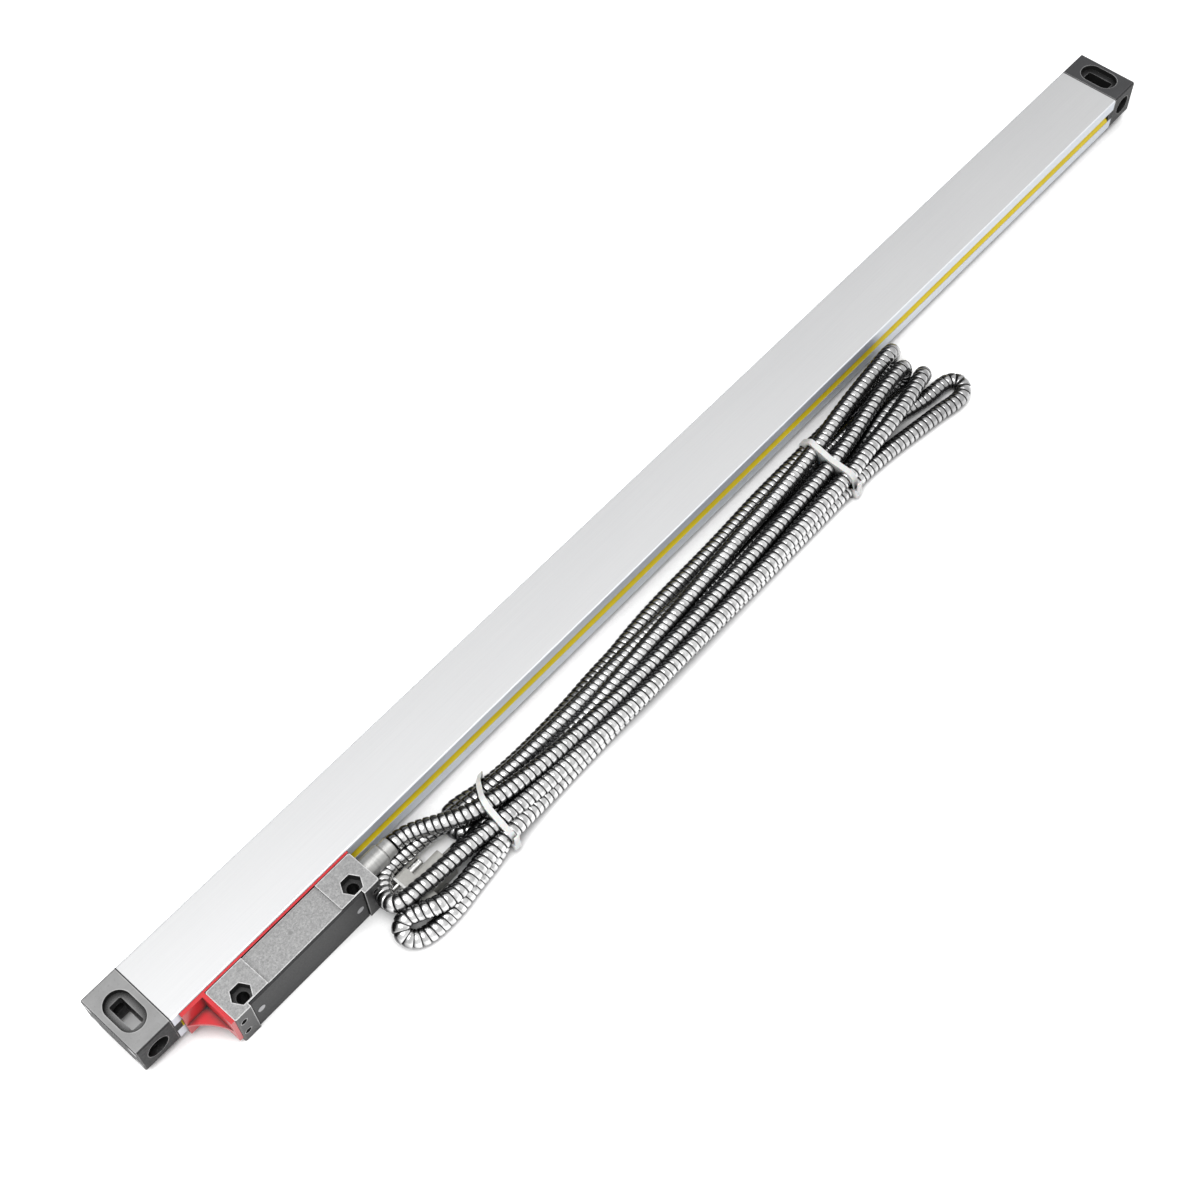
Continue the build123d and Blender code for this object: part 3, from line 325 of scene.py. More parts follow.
hoseRoute = [
    # out of the ferrule, over the near tie, top of the bundle
    (-217, -15, 13), (-211, -15.6, 13.1), (-204, -19.2, 13.8), (-196, -24.8, 14.8),
    (-187, -30, 15.4), (-176, -33.4, 15.4), (-160, -36.2, 14.4), (-128, -38.4, 11.8),
    (-95, -39.3, 10.4), (-60, -38.7, 10.3), (-25, -37.6, 10.3), (8, -35.9, 10.3), (35, -34.2, 10.4),
    (55, -33.2, 10.8),
    # second arched loop at the far end
    (75, -30.6, 12.5), (90, -28.3, 15.2), (103, -26.8, 16.5), (116.7, -25.8, 16.5),
    (120.5, -25.5, 12.7), (120.5, -25.6, 7.3), (116.7, -25.8, 4.1), (103, -25.8, 4.1),
    (88, -25.3, 4.1), (75, -24.6, 4.1),
    # back towards the head, rising to the second layer
    (55, -23.9, 4.1), (20, -24.1, 4.1), (-20, -25.6, 4.1), (-40, -25.8, 4.1), (-60, -26, 5.6),
    (-85, -26.8, 7.6), (-120, -28, 9.2), (-150, -27.9, 9.5), (-172, -26.2, 9.5), (-186, -24.4, 9.2),
    (-196, -22.6, 8.6),
    # wide near loop round the connector
    (-204, -20.8, 7.8), (-213, -19.8, 7), (-221, -19.2, 7.2), (-227.5, -20.4, 8),
    (-232, -24.4, 9.4), (-235, -29.6, 11), (-234.6, -34, 12.2), (-230.2, -36.6, 12.9),
    (-224, -37, 13), (-217, -37.9, 13), (-210, -38.3, 13), (-202, -38.8, 13),
    # outer top run
    (-194, -39.4, 12.8), (-187, -40.2, 12.4), (-176, -41.2, 11.8), (-163, -42.2, 11),
    (-147, -43.4, 10.5), (-124, -44.8, 10.3), (-101, -45.9, 10.2), (-75, -46, 9.8),
    (-45, -45.6, 9.2), (-15, -44.9, 9.2), (8, -44.2, 9.8), (30, -43.3, 10.4), (47, -42.6, 10.5),
    # third arched loop
    (57, -42.8, 10.6), (67, -41.4, 11.8), (78, -41, 13.4), (88, -40.8, 15), (101, -39.4, 16.4),
    (111, -37.6, 16.5), (120, -35.8, 16.5), (123.8, -34.6, 12.7), (123.8, -33.4, 7.5),
    (120, -32.8, 4.1), (114.5, -32.8, 4.3), (107, -33.2, 7.8), (99, -34, 10.3), (88, -35.2, 10.3),
    (75, -37.2, 7.4), (62, -37.4, 4.1),
    # lower run under it
    (45, -37.4, 4.1), (20, -37.6, 4.1), (-20, -38, 4.1), (-60, -37.4, 4.1), (-85, -37.2, 4.1),
    (-120, -37.4, 4.1), (-150, -38.2, 4.1), (-165, -40, 4.1), (-175, -42.8, 4.1),
    (-183, -45.6, 4.1), (-190, -47.4, 4.1), (-196, -48.4, 4.1), (-202, -49, 4.1),
    (-208, -49.8, 4.1), (-215, -50.9, 4.1), (-222, -51.2, 4.1),
    # outer near loop, tilted
    (-230, -51, 4.1), (-236.4, -49.4, 4.2), (-240.2, -46, 6.2), (-239.8, -42, 8.9),
    (-235.4, -40.8, 11), (-230.4, -43.4, 11.6),
    # outer lower run
    (-225, -46.6, 12), (-218, -48.6, 11.4), (-211, -48.8, 10.5), (-204, -48.2, 10.5),
    (-196, -47.2, 10.3), (-182, -46.8, 9.8), (-172, -46.2, 8.4), (-162, -45.4, 6),
    (-150, -44.7, 4.1), (-135, -44.5, 4.1), (-100, -44.3, 4.1), (-60, -44.2, 4.1),
    (-20, -44.6, 4.1), (20, -44.5, 4.1), (55, -44.4, 4.1),
    # flat loop on the floor
    (66, -44.6, 4.1), (82, -45.9, 4.1), (99, -48.3, 4.1), (108, -49.6, 4.1), (117, -50.8, 4.1),
    (124, -52.4, 4.1), (130.5, -53, 4.1), (135.8, -50.6, 4.1), (137, -46.4, 4.1), (134, -42.8, 4.1),
    (128.4, -41.6, 4.1), (122, -41.4, 4.1), (115, -40.2, 4.1), (104, -37.6, 4.1), (92, -34.2, 4.1),
    (78, -31.6, 4.1), (66, -30.8, 4.1),
    # inner lower run
    (55, -30.7, 4.1), (20, -31, 4.1), (-20, -31.8, 4.1), (-60, -31.3, 4.1), (-85, -30.9, 4.1),
    (-120, -30.9, 4.1), (-150, -31.2, 4.1), (-172, -31.4, 4.1),
    # short turn under the gland's run
    (-181, -31.6, 4.1), (-188.5, -31.6, 4.1), (-192.2, -28, 4.1), (-192.2, -23, 4.1),
    (-188.5, -19.4, 4.1), (-181, -20.4, 4.1),
    # run beside the housing
    (-172, -22.8, 4.1), (-155, -24.2, 4.1), (-142, -24.4, 4.1), (-120, -24, 4.1),
    (-100, -22.4, 4.1), (-85, -22, 4.1), (-74, -20.6, 4.1), (-56, -19.4, 4.1), (-37, -19, 4.1),
    (-17, -18.8, 4.1), (0, -18.2, 4.1), (20, -17.2, 4.1), (55, -17.1, 4.1),
    # first arched loop
    (75, -16.9, 4.1), (95, -16.2, 4.1), (110, -15.5, 4.1), (121.3, -15, 4.1), (125.1, -15, 7.3),
    (125.1, -15.2, 12.7), (121.3, -15.8, 16.5), (110, -16.9, 16.5), (97, -17.8, 16),
    (85, -18.7, 14.5), (73, -19.7, 12.8), (58, -21.8, 11), (43, -23.2, 10.4),
    # inner top run, down into the connector
    (19, -25.1, 10.3), (-5, -26.2, 10.3), (-20, -27.6, 10.3), (-46, -29.6, 10.3),
    (-70, -31.4, 10.4), (-91, -32.6, 10.2), (-110, -33.6, 9.4), (-125, -34.2, 9), (-150, -34.4, 9),
    (-172, -34.4, 8.8), (-180, -35, 8), (-187, -35.4, 6.4), (-193, -35.2, 5.2),
    (-200.5, -34.5, 4.6),
]


def routeLine():
    curve = bpy.data.curves.new("hoseLine", "CURVE")
    curve.dimensions = "3D"
    curve.resolution_u = 24
    spline = curve.splines.new("NURBS")
    spline.points.add(len(hoseRoute) - 1)
    for point, spot in zip(spline.points, hoseRoute):
        point.co = (spot[0] * mm, spot[1] * mm, spot[2] * mm, 1)
    spline.order_u = 3
    spline.use_endpoint_u = True
    line = addObject("hoseLine", curve)
    bpy.context.view_layer.update()
    mesh = bpy.data.meshes.new_from_object(line)
    path = []
    for vert in mesh.vertices:
        if not path or (vert.co - path[-1]).length > hose["pointGap"] * mm:
            path.append(vert.co.copy())
    bpy.data.objects.remove(line)
    bpy.data.meshes.remove(mesh)
    return path


def reachOf(path):  # distance from the gland at each point
    reach = [0.0]
    for a, b in zip(path, path[1:]):
        reach.append(reach[-1] + (b - a).length)
    return reach


hosePath = routeLine()
hoseReach = reachOf(hosePath)
hoseLength = hoseReach[-1]


def carriedFrames():  # two directions square to the route at each point, carried along without twist
    frames = []
    side = None
    last = len(hosePath) - 1
    for step, spot in enumerate(hosePath):
        along = (hosePath[min(step + 1, last)] - hosePath[max(step - 1, 0)]).normalized()
        if side is None:
            side = along.cross(Vector((0, 0, 1)))
        side = (side - along * side.dot(along)).normalized()
        frames.append((spot, side, along.cross(side)))
    return frames


def frameAt(frames, reach):
    step = min(bisect.bisect_right(hoseReach, reach) - 1, len(hosePath) - 2)
    share = (reach - hoseReach[step]) / (hoseReach[step + 1] - hoseReach[step])
    centre, side, other = (one.lerp(two, share) for one, two in zip(frames[step], frames[step + 1]))
    return centre, side.normalized(), other.normalized()


def buildHose():
    radius, sides, profile = hose["crest"] * mm, hose["sides"], hose["profile"]
    turns = int(hoseLength / (hose["pitch"] * mm))
    pitch = hoseLength / turns
    frames = carriedFrames()
    stations = [(turn + share, size, gap) for turn in range(turns + 1) for share, size, gap in profile]
    bm = bmesh.new()
    bmesh.ops.create_grid(bm, x_segments=sides, y_segments=len(stations) - 1, size=1)
    bm.verts.ensure_lookup_table()
    gapLayer = bm.verts.layers.float.new("gap")
    toneLayer = bm.verts.layers.float.new("tone")
    # the grid's points row by row, one row for each station
    grid = sorted(bm.verts, key=lambda v: (round(v.co.y * 100000), v.co.x))
    row = sides + 1
    shortWave, longWave = hose["toneWaves"]
    for count, (turn, size, gap) in enumerate(stations):
        for spot in range(row):
            angle = 2 * math.pi * spot / sides
            # the strip is one long screw, so a turn starts half a pitch early and ends half a pitch late
            reach = (turn + spot / sides - 0.5) * pitch
            wide = size if 0 < reach < hoseLength else profile[0][1]
            reach = min(max(reach, 0.0), hoseLength)
            centre, side, other = frameAt(frames, reach)
            vert = grid[count * row + spot]
            vert.co = centre + (side * math.cos(angle) + other * math.sin(angle)) * radius * wide
            vert[gapLayer] = gap
            vert[toneLayer] = 0.5 + 0.5 * math.sin(reach * shortWave) * math.cos(reach * longWave)
    bmesh.ops.remove_doubles(bm, verts=bm.verts, dist=1e-7)
    rims = [e for e in bm.edges if e.is_boundary]
    bmesh.ops.holes_fill(bm, edges=rims, sides=0)
    bmesh.ops.recalc_face_normals(bm, faces=bm.faces)
    for face in bm.faces:
        face.smooth = True
    return addObject("armouredHose", meshFrom("armouredHose", bm))


def attribute(tree, name):
    node = tree.nodes.new("ShaderNodeAttribute")
    node.attribute_name = name
    return node.outputs["Fac"]


def hoseSteel(look):
    material, tree, shader = newMaterial("hoseSteel", look)
    gap = attribute(tree, "gap")
    fine = noise(tree, place(tree), look["grain"], 5)
    crest = ramp(tree, attribute(tree, "tone"), look["crests"])
    # painted shade: the crests darken towards the far loops
    far = levels(tree, axisOf(tree, place(tree), "X"), (0, look["farShare"]), look["farSpan"])
    crest = blendColours(tree, far, crest, look["farShadedCrest"])
    steel = blendColours(tree, levels(tree, fine, (0, look["wornShare"])), crest, look["wearAndHighlight"])
    # painted dark reflection on the faces turned from lightFrom
    steel = blendColours(tree, towards(tree, look["lightFrom"], look["litSpan"]), look["flankReflection"], steel)
    # painted shade in hollows and between the strands
    steel = paintedHollowShade(tree, steel, look["hollowShade"])
    # painted shade in the grooves between the turns
    steel = blendColours(tree, levels(tree, gap, (0, 1), look["gapSpan"]), steel, look["gap"])
    tree.links.new(steel, shader.inputs["Base Color"])
    tree.links.new(levels(tree, gap, look["gloss"], look["glossSpan"]), shader.inputs["Roughness"])
    bumpFrom(tree, shader, fine, look)
    return material


armouredHose = buildHose()
armouredHose.data.materials.append(hoseSteel(hoseLook))
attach(armouredHose, "read_head")
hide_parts("hose_tube", "hose_hank")
print("hose laid, metres:", round(hoseLength, 3), "triangles:", len(armouredHose.data.polygons) * 2)


# Cable ties: flat bands drawn round the strands, each with a lock and a cut tail

ties = {
    "near": {"x": -176.0, "width": 2.8, "shift": -5.0, "bow": 0.027, "bowFrom": -40.0, "lock": (-50.6, 6.2)},
    "far": {"x": 55.0, "width": 3.0, "shift": -2.0, "bow": 0.012, "bowFrom": -34.0, "lock": (-48.9, 5.0)},
}
tieShape = {
    "thickness": 1.1,
    "segments": 40,
    "bite": 0.1,  # how far the band sinks into the crests
    "lowest": (1.1, 0.1),  # height over the ground of its inner and outer face
    "lock": (1.35, 4.2, 5.2), "lockRound": 0.7,  # share of the band's width, then depth and height
    "tail": (1.1, 7.5), "tailRound": 0.3,  # share of the band's thickness, then height
    "tailShift": (-1.4, 4.2),
    "smoothBelow": 2e-5, "sharpAngle": 32,  # square metres of a face, degrees
}
tieLook = {
    "colour": (0.74, 0.74, 0.73), "roughness": 0.38, "grain": 500, "spread": 0.05, "bump": 0.25,
    # painted shade where the band lies in corners and between the strands
    "hollowShade": {"reach": 0.006, "shade": 0.015, "span": (0.35, 0.85)},
    "sockets": {"Subsurface Weight": 0.15, "Subsurface Scale": 0.002, "Coat Weight": 0.2},
}


def strandsAt(x):
    found = []
    for a, b in zip(hosePath, hosePath[1:]):
        if (a.x - x) * (b.x - x) < 0:
            found.append(a.lerp(b, (x - a.x) / (b.x - a.x)))
    return found


def bandRound(spots, radius, width, lowest):
    bm = bmesh.new()
    for spot in spots:
        turn = Matrix.Translation((0, spot.y, spot.z)) @ Matrix.Rotation(math.pi / 2, 4, "Y")
        bmesh.ops.create_cone(
            bm, cap_ends=True, segments=tieShape["segments"],
            radius1=radius, radius2=radius, depth=width, matrix=turn)
    made = bmesh.ops.convex_hull(bm, input=bm.verts)
    spare = [g for g in made["geom_interior"] + made["geom_unused"]
             if isinstance(g, bmesh.types.BMVert) and g.is_valid]
    bmesh.ops.delete(bm, geom=spare, context="VERTS")
    ends = [f for f in bm.faces if abs(f.normal.x) > 0.9]  # both flat sides of the hull
    bmesh.ops.delete(bm, geom=ends, context="FACES")
    loose = [v for v in bm.verts if not v.link_faces]
    bmesh.ops.delete(bm, geom=loose, context="VERTS")
    bmesh.ops.dissolve_limit(bm, angle_limit=0.002, verts=bm.verts, edges=bm.edges)
    for vert in bm.verts:
        vert.co.z = max(vert.co.z, lowest)
    return bm


def addBlock(bm, size, centre, rounding, segments):
    made = bmesh.ops.create_cube(bm, size=1)
    bmesh.ops.scale(bm, vec=size, verts=made["verts"])
    bmesh.ops.translate(bm, vec=centre, verts=made["verts"])
    rim = list({e for v in made["verts"] for e in v.link_edges})
    bmesh.ops.bevel(
        bm, geom=rim, offset=rounding, segments=segments, profile=0.5, affect="EDGES", material=-1)


def buildTie(name, tie):
    width, thickness = tie["width"] * mm, tieShape["thickness"] * mm
    grip = (hose["crest"] - tieShape["bite"]) * mm
    lowIn, lowOut = (height * mm for height in tieShape["lowest"])
    spots = strandsAt(tie["x"] * mm)
    inner = bandRound(spots, grip, width, lowIn)
    bm = bandRound(spots, grip + thickness, width, lowOut)
    mesh = meshFrom(name, inner)
    bm.from_mesh(mesh)  # both bands are now in one bmesh
    mesh.clear_geometry()
    for side in (-1, 1):
        rim = [e for e in bm.edges if e.is_boundary and all(v.co.x * side > 0 for v in e.verts)]
        bmesh.ops.bridge_loops(bm, edges=rim)
    lockY, lockZ = tie["lock"][0] * mm, tie["lock"][1] * mm
    lock, tail, tailShift = tieShape["lock"], tieShape["tail"], tieShape["tailShift"]
    lockSize = (width * lock[0], lock[1] * mm, lock[2] * mm)
    addBlock(bm, lockSize, (0, lockY, lockZ), tieShape["lockRound"] * mm, 2)
    tailSize = (width, thickness * tail[0], tail[1] * mm)
    tailCentre = (0, lockY + tailShift[0] * mm, lockZ + tailShift[1] * mm)
    addBlock(bm, tailSize, tailCentre, tieShape["tailRound"] * mm, 1)
    bmesh.ops.recalc_face_normals(bm, faces=bm.faces)
    for vert in bm.verts:  # the band lies askew across the strands
        away = max(0.0, vert.co.y / mm - tie["bowFrom"])
        vert.co.x += (tie["x"] + tie["shift"] + tie["bow"] * away * away) * mm
    for face in bm.faces:
        face.smooth = face.calc_area() < tieShape["smoothBelow"]
    bm.to_mesh(mesh)
    bm.free()
    mesh.set_sharp_from_angle(angle=math.radians(tieShape["sharpAngle"]))
    return addObject(name, mesh)


tieNylon = grainedFinish("tieNylon", tieLook)
tieNear = buildTie("tieNear", ties["near"])
tieFar = buildTie("tieFar", ties["far"])
for tie, node in ((tieNear, "cable_tie_near"), (tieFar, "cable_tie_far")):
    tie.data.materials.append(tieNylon)
    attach(tie, "read_head")
    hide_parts(node)
print("ties closed")


# Housing, seals and end caps

housingLook = {
    "colour": (0.66, 0.663, 0.667), "metallic": 0.3, "roughness": 0.36,
    "streakDark": (0.64, 0.643, 0.648), "streakLight": (0.68, 0.682, 0.685),
    "patchDark": (0.95, 0.95, 0.955), "grain": 2600,
    "lip": (0.66, 0.70, 0.76),  # painted reflection, a bluer tone on the front and back faces
    "corner": (0.93, 0.95, 0.98), "cornerShare": 0.9,  # painted highlight along the rounded long edges
    "gloss": (0.32, 0.46), "bump": 0.18, "depth": 0.00006, "edge": 0.00025,
}
sealLook = {
    # one yellow rubber, painted lighter on the upper seal and darker on the lower, as lit and shaded copies
    "upper": (1.0, 0.83, 0.05), "lower": (0.92, 0.70, 0.02), "roughness": 0.42,
    "dust": (0.35, 0.3, 0.12), "dustShare": 0.12, "grain": 1500,
    "gloss": (0.36, 0.52), "bump": 0.3, "depth": 0.00008, "edge": 0.0002,
}
capLook = {
    "colour": (0.019, 0.019, 0.02), "metallic": 0.1, "roughness": 0.5,
    # painted light on the top faces, much stronger on the near cap
    "nearTopPaintedLight": grey(0.30), "farTopPaintedLight": (0.075, 0.075, 0.078), "pores": 700, "clouds": 120,
    # a painted highlight along the edges, patchy like wear
    "wearAndHighlight": grey(0.62), "wearAndHighlightEdge": 0.0009,
    "hollowShade": {"reach": 0.014, "shade": 0.012, "span": (0.55, 0.97)},
    "gloss": (0.42, 0.62), "bump": 0.35, "depth": 0.00012, "edge": 0.0003,
    "sockets": {"Specular IOR Level": 0.22},
}
gasketFinishes = {
    "rubberBlack": {
        "nodes": ("end_gasket_near", "end_gasket_far"),
        "colour": (0.02, 0.02, 0.021), "roughness": 0.7, "grain": 900, "spread": 0.25, "bump": 0.3,
    },
    "rubberGrey": {
        "nodes": ("glass_bonding_strip",),
        "colour": (0.09, 0.09, 0.095), "roughness": 0.65, "grain": 700, "spread": 0.2, "bump": 0.3,
    },
}


def anodisedHousing(look):
    material, tree, shader = newMaterial("satinAnodised", look)
    drawn = noise(tree, place(tree, (0.6, 60, 60)), 40, 5, 0.6)  # streaks along the extrusion
    grain = noise(tree, place(tree), look["grain"], 4, 0.6)
    broad = noise(tree, place(tree, (0.4, 1, 1)), 9, 3)
    streaks = [(0.3, look["streakDark"]), (0.55, look["colour"]), (0.8, look["streakLight"])]
    patches = [(0.3, look["patchDark"]), (0.7, grey(1))]
    flat = multiplied(tree, ramp(tree, drawn, streaks), ramp(tree, broad, patches))
    # painted reflection: the front and back faces take a bluer tone
    body = blendColours(tree, facing(tree, "Y", (0.6, 0.9)), flat, look["lip"])
    # painted highlight along the rounded long edges
    corner = maths(tree, "MULTIPLY", facing(tree, "Y", (0, 1)), facing(tree, "Z", (0, 1)))
    edgeHighlight = levels(tree, corner, (0, look["cornerShare"]), (0.2, 0.42))
    tree.links.new(blendColours(tree, edgeHighlight, body, look["corner"]), shader.inputs["Base Color"])
    tree.links.new(levels(tree, grain, look["gloss"]), shader.inputs["Roughness"])
    bumpFrom(tree, shader, layered(tree, drawn, grain), look)
    return material


def yellowSeal(name, look, colour):
    material, tree, shader = newMaterial(name, {**look, "colour": colour})
    lines = noise(tree, place(tree, (0.5, 30, 30)), 60, 5, 0.6)  # drawn along the seal
    speck = noise(tree, place(tree), look["grain"], 3)
    dark = tuple(c * 0.86 for c in colour)
    light = tuple(min(1, c * 1.1) for c in colour)
    tone = ramp(tree, lines, [(0.3, dark), (0.5, colour), (0.75, light)])
    dusty = levels(tree, speck, (0, look["dustShare"]), (0.5, 0.75))
    tree.links.new(blendColours(tree, dusty, tone, look["dust"]), shader.inputs["Base Color"])
    tree.links.new(levels(tree, speck, look["gloss"]), shader.inputs["Roughness"])
    bumpFrom(tree, shader, lines, look)
    return material


def castCap(name, look, top):
    material, tree, shader = newMaterial(name, look)
    pores = noise(tree, place(tree), look["pores"], 6, 0.7)
    cloud = noise(tree, place(tree), look["clouds"], 4)
    # painted light: the top faces are lighter than the sides
    colour = blendColours(tree, upward(tree, (0.8, 0.97)), look["colour"], top)
    colour = multiplied(tree, colour, ramp(tree, cloud, [(0.3, grey(0.86)), (0.7, grey(1))]))
    colour = multiplied(tree, colour, ramp(tree, pores, [(0.25, grey(0.8)), (0.45, grey(1))]))
    # painted highlight along the edges, patchy like wear, then painted shade in hollows
    wearAndHighlight = maths(tree, "MULTIPLY", edges(tree, look["wearAndHighlightEdge"]), levels(tree, cloud, (0.3, 0.85)))
    colour = paintedHollowShade(tree, blendColours(tree, wearAndHighlight, colour, look["wearAndHighlight"]), look["hollowShade"])
    tree.links.new(colour, shader.inputs["Base Color"])
    tree.links.new(levels(tree, pores, look["gloss"]), shader.inputs["Roughness"])
    bumpFrom(tree, shader, pores, look)
    return material


dress(anodisedHousing(housingLook), "extrusion_housing")
# lit and shaded copies of one yellow: painted light on the upper seal, painted shade on the lower
dress(yellowSeal("sealUpperLit", sealLook, sealLook["upper"]), "lip_seal_upper")
dress(yellowSeal("sealLowerShaded", sealLook, sealLook["lower"]), "lip_seal_lower")
# the same cast finish, with more painted light on the near cap's top
dress(castCap("capNear", capLook, capLook["nearTopPaintedLight"]), "end_cap_near")
dress(castCap("capFar", capLook, capLook["farTopPaintedLight"]), "end_cap_far")
dressAll(gasketFinishes)
print("housing dressed")


# Read head

headLook = {
    "colour": grey(0.40), "metallic": 0.2, "roughness": 0.42,
    "mid": grey(0.29), "dark": (0.22, 0.22, 0.222), "pore": grey(0.55), "pores": 1300, "clouds": 760,
    "front": (0.016, 0.016, 0.017), "frontLight": grey(0.045),  # painted shade on all faces but the top
    # a painted highlight along the edges, patchy like wear
    "wearAndHighlight": grey(0.9), "wearAndHighlightEdge": 0.0009,
    "hollowShade": {"reach": 0.009, "shade": 0.012, "span": (0.5, 0.95)},
    # painted shade of a small dimple on the top
    "dimple": (-0.272, -0.0155, 0.023), "dimpleRadius": 0.0013, "dimpleShade": grey(0.16), "dimpleShare": 0.55,
    "gloss": (0.34, 0.52), "bump": 0.6, "depth": 0.0002, "edge": 0.0003,
}
headFinishes = {
    "coverPaint": {
        "nodes": ("head_cover",),
        "colour": (0.03, 0.03, 0.031), "roughness": 0.48, "grain": 1800, "broad": 90, "spread": 0.14,
        "bump": 0.3, "depth": 0.00006, "edge": 0.0003, "sockets": {"Specular IOR Level": 0.2},
    },
    "screwSteel": {
        "nodes": ("end_cap_screws", "cover_screws", "board_screws", "blade_screws"),
        "colour": (0.32, 0.32, 0.33), "metallic": 0.9, "roughness": 0.32, "grain": 900, "spread": 0.12,
        "bump": 0.1, "edge": 0.0001,
    },
    "springSteel": {
        "nodes": ("coupling_blade", "coupling_wire"),
        "colour": (0.55, 0.55, 0.56), "metallic": 0.95, "roughness": 0.26, "grain": 60,
        "stretch": (1, 12, 12), "spread": 0.1, "bump": 0.1,
    },
}


def castHead(look):
    material, tree, shader = newMaterial("castHead", look)
    cloud = noise(tree, place(tree), look["clouds"], 6, 0.7, 0.4)
    pores = noise(tree, place(tree), look["pores"], 5, 0.7)
    top = ramp(tree, cloud, [(0.3, look["dark"]), (0.5, look["mid"]), (0.68, look["colour"])])
    top = multiplied(tree, top, ramp(tree, pores, [(0.28, look["pore"]), (0.48, grey(1))]))
    # painted shade: every face but the top takes a far darker colour
    front = ramp(tree, cloud, [(0.3, look["front"]), (0.7, look["frontLight"])])
    colour = blendColours(tree, upward(tree, (0.6, 0.9)), front, top)
    # painted highlight along the edges, patchy like wear, then painted shade in hollows
    wearAndHighlight = maths(tree, "MULTIPLY", edges(tree, look["wearAndHighlightEdge"]), levels(tree, cloud, (0.55, 1)))
    colour = paintedHollowShade(tree, blendColours(tree, wearAndHighlight, colour, look["wearAndHighlight"]), look["hollowShade"])
    # painted shade of a small dimple on the top
    away = vectorMaths(tree, "DISTANCE", place(tree), look["dimple"])
    near = levels(tree, away, (1, 0), (look["dimpleRadius"] * 0.8, look["dimpleRadius"]))
    dimple = maths(tree, "MULTIPLY", near, look["dimpleShare"])
    tree.links.new(blendColours(tree, dimple, colour, look["dimpleShade"]), shader.inputs["Base Color"])
    tree.links.new(levels(tree, cloud, look["gloss"]), shader.inputs["Roughness"])
    bumpFrom(tree, shader, layered(tree, cloud, pores), look)
    return material


dress(castHead(headLook), "head_housing")
dressAll(headFinishes)
print("head dressed")


# Reading unit inside

boardLook = {
    "colour": (0.012, 0.11, 0.035), "roughness": 0.35, "track": (0.03, 0.2, 0.07), "trackScale": 260,
    "pad": (0.55, 0.42, 0.16), "padShare": 0.8, "padScale": 420,
    "grain": 800, "gloss": (0.28, 0.42), "bump": 0.3, "depth": 0.00005,
}
glassLooks = {
    "ruledScale": {
        "nodes": ("glass_scale",),
        "colour": (0.80, 0.86, 0.84), "roughness": 0.04, "pitch": 0.0008,
        "sockets": {"Transmission Weight": 0.85, "IOR": 1.52},
    },
    "ruledReticle": {
        "nodes": ("reticle",),
        "colour": (0.80, 0.82, 0.84), "roughness": 0.05, "pitch": 0.0004,
        "sockets": {"Transmission Weight": 0.8, "IOR": 1.52},
    },
    "lampLens": {
        "nodes": ("light_source_lens",),
        "colour": (0.93, 0.94, 0.94), "roughness": 0.03, "pitch": 0.003,
        "sockets": {"Transmission Weight": 0.9, "IOR": 1.52},
    },
}
insideFinishes = {
    "chipBlack": {
        "nodes": ("photodetector",),
        "colour": (0.018, 0.018, 0.02), "roughness": 0.4, "grain": 1200, "spread": 0.2,
    },
    "carriageCasting": {
        "nodes": ("carriage_frame",),
        "colour": (0.36, 0.36, 0.37), "metallic": 0.6, "roughness": 0.42, "grain": 700, "spread": 0.12,
        "bump": 0.3, "edge": 0.0002,
    },
    "bearingSteel": {
        "nodes": ("bearing_inner_rings", "bearing_pins",
                  *("bearing_outer_ring_%d" % number for number in range(1, 6))),
        "colour": (0.62, 0.62, 0.63), "metallic": 1.0, "roughness": 0.16, "grain": 300,
        "stretch": (1, 8, 1), "bump": 0.06, "edge": 0.0001,
    },
    "leadAmber": {
        "nodes": ("head_lead", "light_source_lead"),
        "colour": (0.42, 0.17, 0.03), "roughness": 0.3, "grain": 200, "stretch": (1, 10, 10),
        "spread": 0.15, "bump": 0.15,
    },
}


def boardGreen(look):
    material, tree, shader = newMaterial("boardGreen", look)
    spot = place(tree)
    cells = tree.nodes.new("ShaderNodeTexBrick")
    cells.inputs["Scale"].default_value = look["trackScale"]
    cells.inputs["Mortar Size"].default_value = 0.06
    tree.links.new(spot, cells.inputs["Vector"])
    dots = tree.nodes.new("ShaderNodeTexVoronoi")
    dots.inputs["Scale"].default_value = look["padScale"]
    dots.inputs["Randomness"].default_value = 0.35
    tree.links.new(spot, dots.inputs["Vector"])
    pads = levels(tree, dots.outputs["Distance"], (1, 0), (0.1, 0.16))
    weave = noise(tree, spot, look["grain"], 3)
    tracks = blendColours(tree, cells.outputs["Fac"], look["colour"], look["track"])
    colour = blendColours(tree, maths(tree, "MULTIPLY", pads, look["padShare"]), tracks, look["pad"])
    tree.links.new(colour, shader.inputs["Base Color"])
    tree.links.new(levels(tree, weave, look["gloss"]), shader.inputs["Roughness"])
    bumpFrom(tree, shader, cells.outputs["Fac"], look)
    return material


def ruledGlass(name, look):
    material, tree, shader = newMaterial(name, look)
    ink, inkShare = grey(0.1), 0.55
    along = axisOf(tree, place(tree), "X")
    cycle = maths(tree, "FRACT", maths(tree, "DIVIDE", along, look["pitch"]))
    line = maths(tree, "MULTIPLY", maths(tree, "LESS_THAN", cycle, 0.5), inkShare)
    smear = noise(tree, place(tree), 200, 3)
    rough = look["roughness"]
    tree.links.new(blendColours(tree, line, look["colour"], ink), shader.inputs["Base Color"])
    tree.links.new(levels(tree, smear, (rough, rough + 0.06)), shader.inputs["Roughness"])
    return material


dress(boardGreen(boardLook), "head_circuit_board", "detector_board", "light_source_board")
dressAll(glassLooks, ruledGlass)
dressAll(insideFinishes)
print("reading unit dressed")


# Gland, connector and transport bracket

